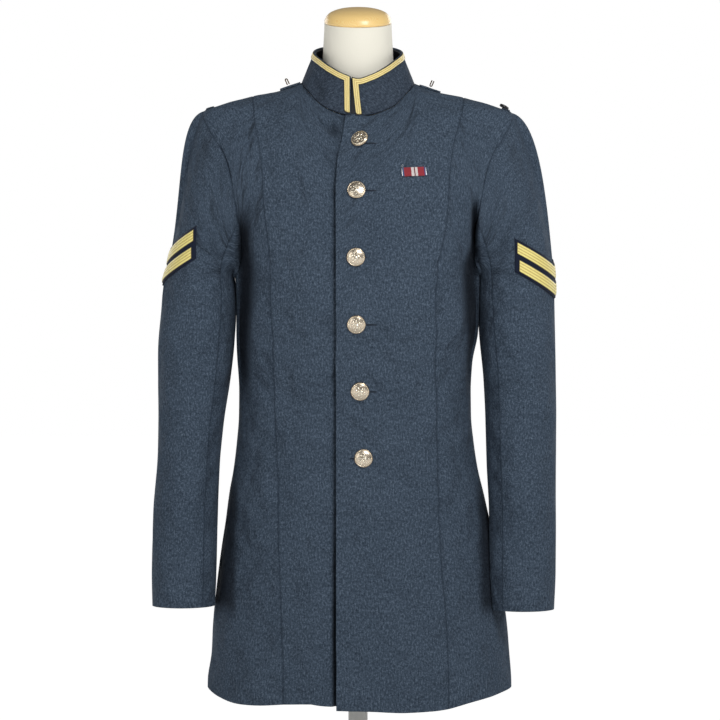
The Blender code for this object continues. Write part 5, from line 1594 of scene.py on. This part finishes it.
    def build(self, room: Workroom) -> None:
        """Stamp one button, copy it down the front and work the buttonholes."""
        master = self.stamp()
        for k in range(1, len(BUTTONS)):
            add(f"button_dome_{k + 1}", master.data.copy())
        for k, (x, height) in enumerate(BUTTONS):
            button = bpy.data.objects[f"button_dome_{k + 1}"]
            point, normal = self.torso.chest(x, height)
            off = self.off
            if k == 0:
                normal = unit(normal + np.array(self.top_tip))
                off = self.top_off
            place_mesh(button, settle(point + normal * off), Vector(normal), 0.4 * k)
            room.hand_over(button, "button_metal", "button_metal", f"button_{k + 1}")
            last = k == len(BUTTONS) - 1
            start, end = (-10.0, 14.5) if last else (self.hole_start, self.hole_end)
            self.buttonhole(k + 1, start, end, height - (4.0 if k == 0 else 0.5), room)


# The pin's wire as it leaves the bar: x, y, distance out
PIN_WIRE = ((0, 0, 0), (0.2, 0, 1.6), (1.2, 0, 3.4), (0.4, 0.3, 4.4), (-0.8, 0.6, 3.2), (-0.9, 0.8, 1.0))


@dataclass
class RibbonBar:
    """A striped ribbon wrapped round a metal bar, pinned to the wearer's left chest."""

    torso: Torso
    place: tuple[float, float] = (70.5, 661.0)
    size: tuple[float, float] = (32.0, 12.0)
    turn: float = math.radians(6)
    off: float = 0.4

    def plate(self, name: str, size: Sequence[float], centre: float, bevel: float) -> Piece:
        """Model a flat bar with rounded edges, its length along x."""
        bpy.ops.object.select_all(action="DESELECT")
        bpy.ops.mesh.primitive_cube_add(size=1.0)
        bar = bpy.context.object
        bar.name = name
        bpy.ops.object.mode_set(mode="EDIT")
        bpy.ops.transform.resize(value=tuple(s * MM for s in size), center_override=(0, 0, 0))
        bpy.ops.transform.translate(value=(0, 0, centre * MM))
        bpy.ops.mesh.bevel(offset=bevel * MM, segments=3, affect="EDGES")
        bpy.ops.object.mode_set(mode="OBJECT")
        bar.data.shade_smooth()
        return bar

    def build(self, room: Workroom) -> None:
        """Make the bar, its ribbon and its pin."""
        point, normal = self.torso.chest(*self.place)
        spot = settle(point + normal * self.off)
        rails = self.plate("ribbon_rail", (self.size[0], self.size[1] - 1.4, 1.1), 0.55, 0.3)
        ribbon = self.plate("ribbon_wrap", (self.size[0] - 2.4, self.size[1], 1.9), 1.0, 0.55)
        mesh = ribbon.data
        spots = spots_of(mesh)
        store(mesh, "across", spots[:, 0] / (self.size[0] * MM) + 0.5)
        mesh.uv_layers.active.name = "cloth"
        unwrap(mesh, spots[:, :2] + np.array([0, 1]) * spots[:, 2:])
        outward = Vector(normal)
        right = Vector((1, 0, 0)) - outward * outward.x
        right.normalize()
        up = outward.cross(right)
        right, up = (
            right * math.cos(self.turn) + up * math.sin(self.turn),
            up * math.cos(self.turn) - right * math.sin(self.turn),
        )
        frame = Matrix((right, up, outward)).transposed().to_4x4()
        for piece in (rails, ribbon):
            piece.data.transform(Matrix.Translation(Vector(spot)) @ frame)
        room.hand_over(rails, "bar_silver", "brass")
        room.hand_over(ribbon, "chest_ribbon", "ribbon", "ribbon_bar")
        corner = point + np.array(-right * 14.5 + up * 5.6) + normal * 0.9
        wire = np.array(PIN_WIRE)
        path = between(wire, np.linspace(0, len(wire) - 1, 26))
        pin = join_tubes("ribbon_pin", [tube(corner + path, 0.26, 8)])
        room.hand_over(pin, "bar_silver", "brass")


@dataclass(frozen=True)
class Strap:
    """A small band over a shoulder: its x at both ends, half length, lift and thickness."""

    name: str
    side: Side
    first: float
    last: float
    half: float
    lift: float
    thickness: float


STRAPS = (
    Strap("shoulder_tab_left", Side.LEFT, 80, 107, 13, 0.9, 1.5),
    Strap("shoulder_tab_right", Side.RIGHT, 75, 101, 13, 1.3, 1.6),
    Strap("shoulder_loop_left", Side.LEFT, 187, 197, 15, 0.5, 0.9),
    Strap("shoulder_loop_right", Side.RIGHT, 187, 197, 15, 0.3, 0.9),
)


@dataclass
class ShoulderTrim:
    """Tabs beside the collar, carrier loops and a small button at the ends."""

    torso: Torso
    strip_off: float = 0.4
    spread: float = 0.55
    button_x: float = 188.5
    button_axis: tuple[float, float, float] = (0.5, -0.2, 1.0)

    def on_shoulder(self, x: Array, y: Array) -> Array:
        """Points over the shoulder line."""
        low = np.full_like(y, 600.0)
        high = self.torso.shoulder_height(np.abs(x)) + 0 * y
        for _ in range(30):
            middle = (low + high) / 2
            inside = np.abs(self.torso.depth(x, middle, y > 0)) > np.abs(y)
            low, high = np.where(inside, middle, low), np.where(inside, high, middle)
        return np.stack([x + 0 * y, y, low], -1)

    def strap(self, strap: Strap) -> Cloth:
        """Cut one band, flat at its ends and raised in the middle."""
        shares = np.linspace(-1, 1, 61)
        steps = finer_index(10, 2, (0.15, 0.3)) / 10
        s, k = np.meshgrid(shares, steps)
        corner = 1 - 0.16 * np.clip(np.abs(s) - 0.8, 0, 1) ** 2 / 0.04
        x = (strap.first + strap.last) / 2 + (strap.last - strap.first) * (k - 0.5) * corner
        base = self.on_shoulder(strap.side.value * x, strap.half * s)
        outward = unit(np.stack([0 * s, s * self.spread, 1 + 0 * s], -1))
        off = self.strip_off + strap.lift * (1 - s * s) + strap.thickness
        rounded = 0.35 * (1 - np.abs(2 * k - 1) ** 6)
        points = base + outward * (off + rounded - 0.35)[..., None]
        if strap.side is Side.RIGHT:
            points, outward = points[::-1], outward[::-1]
        return Cloth(points, outward, strap.thickness)

    def build(self, room: Workroom) -> None:
        """Make the bands and the shank button."""
        for strap in STRAPS:
            finish = "tunic_wool" if "tab" in strap.name else "collar_wool"
            room.hang(self.strap(strap), f"wool_{strap.name}", finish, "wool", strap.name)
        profile = [(1.8, 0), (1.8, 1.0), (3.0, 1.5), (5.4, 1.6), (6.2, 2.3), (6.4, 3.4)]
        profile += [(5.9, 4.9), (3.5, 5.7), (0, 5.9)]
        button = turned_piece("shank_button", profile, 40, 4, (2,))
        foot = self.on_shoulder(np.array(self.button_x), np.array(-1.0)) + np.array([0, 0, 0.6])
        place_mesh(button, settle(foot), Vector(self.button_axis))
        room.hand_over(button, "black_button", "black_plastic", "shoulder_button")


# Dress form: height, half width, depth to the front, depth to the back, power of the section
FORM_RINGS = (
    (150, 140, 82, 96, 2.2), (158, 156, 94, 108, 2.2), (205, 156, 98, 108, 2.2), (269, 144, 95, 92, 2.2),
    (336, 137, 92, 79, 2.2), (390, 136, 95, 80, 2.2), (455, 143, 105, 89, 2.2), (500, 144, 110, 94, 2.2),
    (545, 145, 113, 97, 2.2), (590, 147, 110, 99, 2.2), (630, 152, 101, 97, 2.2), (665, 160, 88, 91, 2.2),
    (695, 167, 76, 83, 2.1), (718, 170, 64, 74, 2.0), (733, 166, 54, 66, 1.9), (742, 155, 47, 60, 1.8),
    (749, 136, 43, 56, 1.7), (756, 112, 41, 53, 1.6), (764, 88, 41, 51, 1.6), (774, 67, 42, 48, 1.7),
    (788, 54, 43.5, 46, 1.9), (806, 47, 44, 45, 2.0), (840, 44.5, 44, 44, 2.0),
    (862, 43.5, 43.5, 43.5, 2.0),
)


@dataclass
class DressForm:
    """The limbless form under the jacket: linen body, wooden neck cap, pole and base."""

    neck_forward: float = 5.0
    neck_bend: float = 770.0
    cap_tilt: float = math.radians(15)
    stand_gap: float = 0.3
    columns: int = 128
    rows: int = 230

    def ring(self, row: Sequence[float]) -> Array:
        """One ring of the body, the last one cut to the cap's tilt."""
        height, wide, front, back, power = row
        turn = np.arange(self.columns) / self.columns * 2 * math.pi
        s, c = np.sin(turn), np.cos(turn)
        top = FORM_RINGS[-1][0]
        forward = self.neck_forward * max(0.0, (height - self.neck_bend) / (top - self.neck_bend))
        x = wide * np.copysign(np.abs(s) ** (2 / power), s)
        y = -np.where(c > 0, front, back) * np.copysign(np.abs(c) ** (2 / power), c) - forward
        z = height + (y * math.tan(self.cap_tilt) if height == top else 0 * y)
        return np.stack([x, y, z], -1)

    def body(self) -> Piece:
        """Loft the padded body through its rings and close both ends."""
        rings = np.array([self.ring(row) for row in FORM_RINGS])
        points = between(rings, np.linspace(0, len(rings) - 1, self.rows), [1])
        faces, total = ring_faces(self.rows, self.columns), self.rows * self.columns
        for i in range(self.columns):
            k = (i + 1) % self.columns
            faces.append((k, i, total))
            faces.append((total - self.columns + i, total - self.columns + k, total + 1))
        ends = [points[0].mean(0), points[-1].mean(0)]
        return new_piece("linen_form", np.concatenate([points.reshape(-1, 3), ends]), faces)

    def build(self, room: Workroom) -> None:
        """Make the body, cap, pole and base."""
        room.hand_over(self.body(), "cover_linen", "linen", "form_body")
        axis = Vector((0, -math.sin(self.cap_tilt), math.cos(self.cap_tilt)))
        neck_top = FORM_RINGS[-1][0] - self.neck_forward * math.tan(self.cap_tilt)
        centre = np.array([0, -self.neck_forward, neck_top]) + np.array(axis) * self.stand_gap
        profile = [(42.0, 0), (43.4, 1.2), (43.6, 3.0), (43.2, 4.4), (41.0, 9.0), (35.5, 14.0)]
        profile += [(25.0, 17.9), (12.0, 19.8), (0, 20.2)]
        cap = turned_piece("maple_cap", profile, 112, 5)
        place_mesh(cap, settle(centre), axis)
        room.hand_over(cap, "cap_maple", "maple", "form_cap")
        floor = np.array([0, 0, -HEM_ABOVE_FLOOR])
        foot, top = 14.0 + self.stand_gap, HEM_ABOVE_FLOOR + FORM_RINGS[0][0] - self.stand_gap
        profile = [(12.1, foot), (12.5, foot + 0.4), (12.5, top - 0.4), (12.1, top), (0, top)]
        pole = turned_piece("steel_pole", profile, 64, 2, (1, 2, 3))
        profile = [(168, 0), (170, 2), (170, 8), (169.2, 10.4), (167, 12), (160, 13.6), (150, 14), (0, 14)]
        base = turned_piece("steel_base", profile, 144, 4, (1, 2, 6))
        for piece, node in ((pole, "form_pole"), (base, "form_base")):
            place_mesh(piece, settle(floor), UP)
            room.hand_over(piece, "stand_white", "painted_steel", node)


# Soft lights: name, place, size, power and the height that each is turned to
LIGHTS = (
    ("key_right", (0.8, -1.9, 2.5), 0.8, 28.0, 1.2),
    ("fill_left", (-1.1, -1.9, 1.6), 0.9, 5.0, 1.2),
    ("back_right", (1.3, 2.2, 2.0), 1.4, 16.0, 1.1),
    ("back_left", (-1.4, 2.0, 1.8), 1.4, 12.0, 1.1),
)


@dataclass
class Studio:
    """The camera, the soft lights and the pale floor."""

    distance: float = 3.2
    eye_height: float = 1.044
    shift_x: float = 0.0026
    lens: float = 123.08
    room_light: float = 0.17

    def light(self, name: str, spot: Sequence[float], size: float, power: float, aim: float) -> None:
        """Hang one square soft light, turned to a height on the form's axis."""
        lamp = bpy.data.lights.new(name, "AREA")
        lamp.size = size
        lamp.energy = power
        holder = add(name, lamp)
        holder.location = spot
        holder.rotation_euler = (Vector((0, 0, aim)) - Vector(spot)).to_track_quat("-Z", "Y").to_euler()

    def build(self) -> None:
        """Set up the whole studio."""
        camera = bpy.data.cameras.new("front_view")
        camera.lens = self.lens
        camera.sensor_width = 36.0
        holder = add("front_view", camera)
        holder.location = (self.shift_x, -self.distance, self.eye_height)
        holder.rotation_euler = (math.pi / 2, 0, 0)
        bpy.context.scene.camera = holder
        bpy.context.scene.view_settings.view_transform = "Standard"
        world = bpy.data.worlds.new("white_room")
        world.use_nodes = True
        tree = world.node_tree
        seen = tree.nodes.new("ShaderNodeLightPath").outputs["Is Camera Ray"]
        level = tree.nodes.new("ShaderNodeMapRange")
        level.inputs["To Min"].default_value = self.room_light
        level.inputs["To Max"].default_value = 1.0
        tree.links.new(seen, level.inputs["Value"])
        colour, strength = tree.nodes["Background"].inputs[:2]
        colour.default_value = (1, 1, 1, 1)
        tree.links.new(level.outputs[0], strength)
        bpy.context.scene.world = world
        for light in LIGHTS:
            self.light(*light)
        bpy.ops.object.select_all(action="DESELECT")
        bpy.ops.mesh.primitive_plane_add(size=60.0, location=(0, 0, 0))
        floor = bpy.context.object
        floor.name = "studio_floor"
        g = Graph("pale_floor")
        colour = g.mix(g.noise(g.place(), 6.0), (0.84, 0.84, 0.84), (0.88, 0.88, 0.88))
        reach = g.node("VectorMath", {0: g.place()}, operation="LENGTH").outputs["Value"]
        fade = {0: reach, 1: 0.6, 2: 3.9, 3: 0.02, 4: 0.86}
        glow = g.node("MapRange", fade, interpolation_type="SMOOTHSTEP")
        material = g.finish(colour, 0.9, Emission_Color=(1.0, 1.0, 1.0), Emission_Strength=glow.outputs[0])
        floor.data.materials.append(material)


CAD_FINISHES = {"shoulder_pin_left": "brass_wire", "shoulder_pin_right": "brass_wire"}


def main() -> None:
    """Build every piece in order over the loaded frame."""
    logging.basicConfig(level=logging.INFO, format="%(message)s")
    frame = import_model()
    Studio().build()
    room = Workroom()
    room.mix_finishes()
    for name, finish in CAD_FINISHES.items():
        room.dress(frame["nodes"][name], finish)
    torso = Torso()
    DressForm().build(room)
    BodyPanels(torso).build(room)
    chevron = (17.0, 537.0, 31.0)
    Sleeve(torso, Side.LEFT, SLEEVE_LEFT, 0.09, 0.56, chevron, 202.5, SLEEVE_CREASES_LEFT).build(room)
    chevron = (2.0, 554.0, 29.0)
    Sleeve(torso, Side.RIGHT, SLEEVE_RIGHT, 0.2, 0.57, chevron, 208.7, SLEEVE_CREASES_RIGHT).build(room)
    for trim in (Collar, Buttons, RibbonBar, ShoulderTrim):
        trim(torso).build(room)
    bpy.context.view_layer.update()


if __name__ == "__main__":
    main()
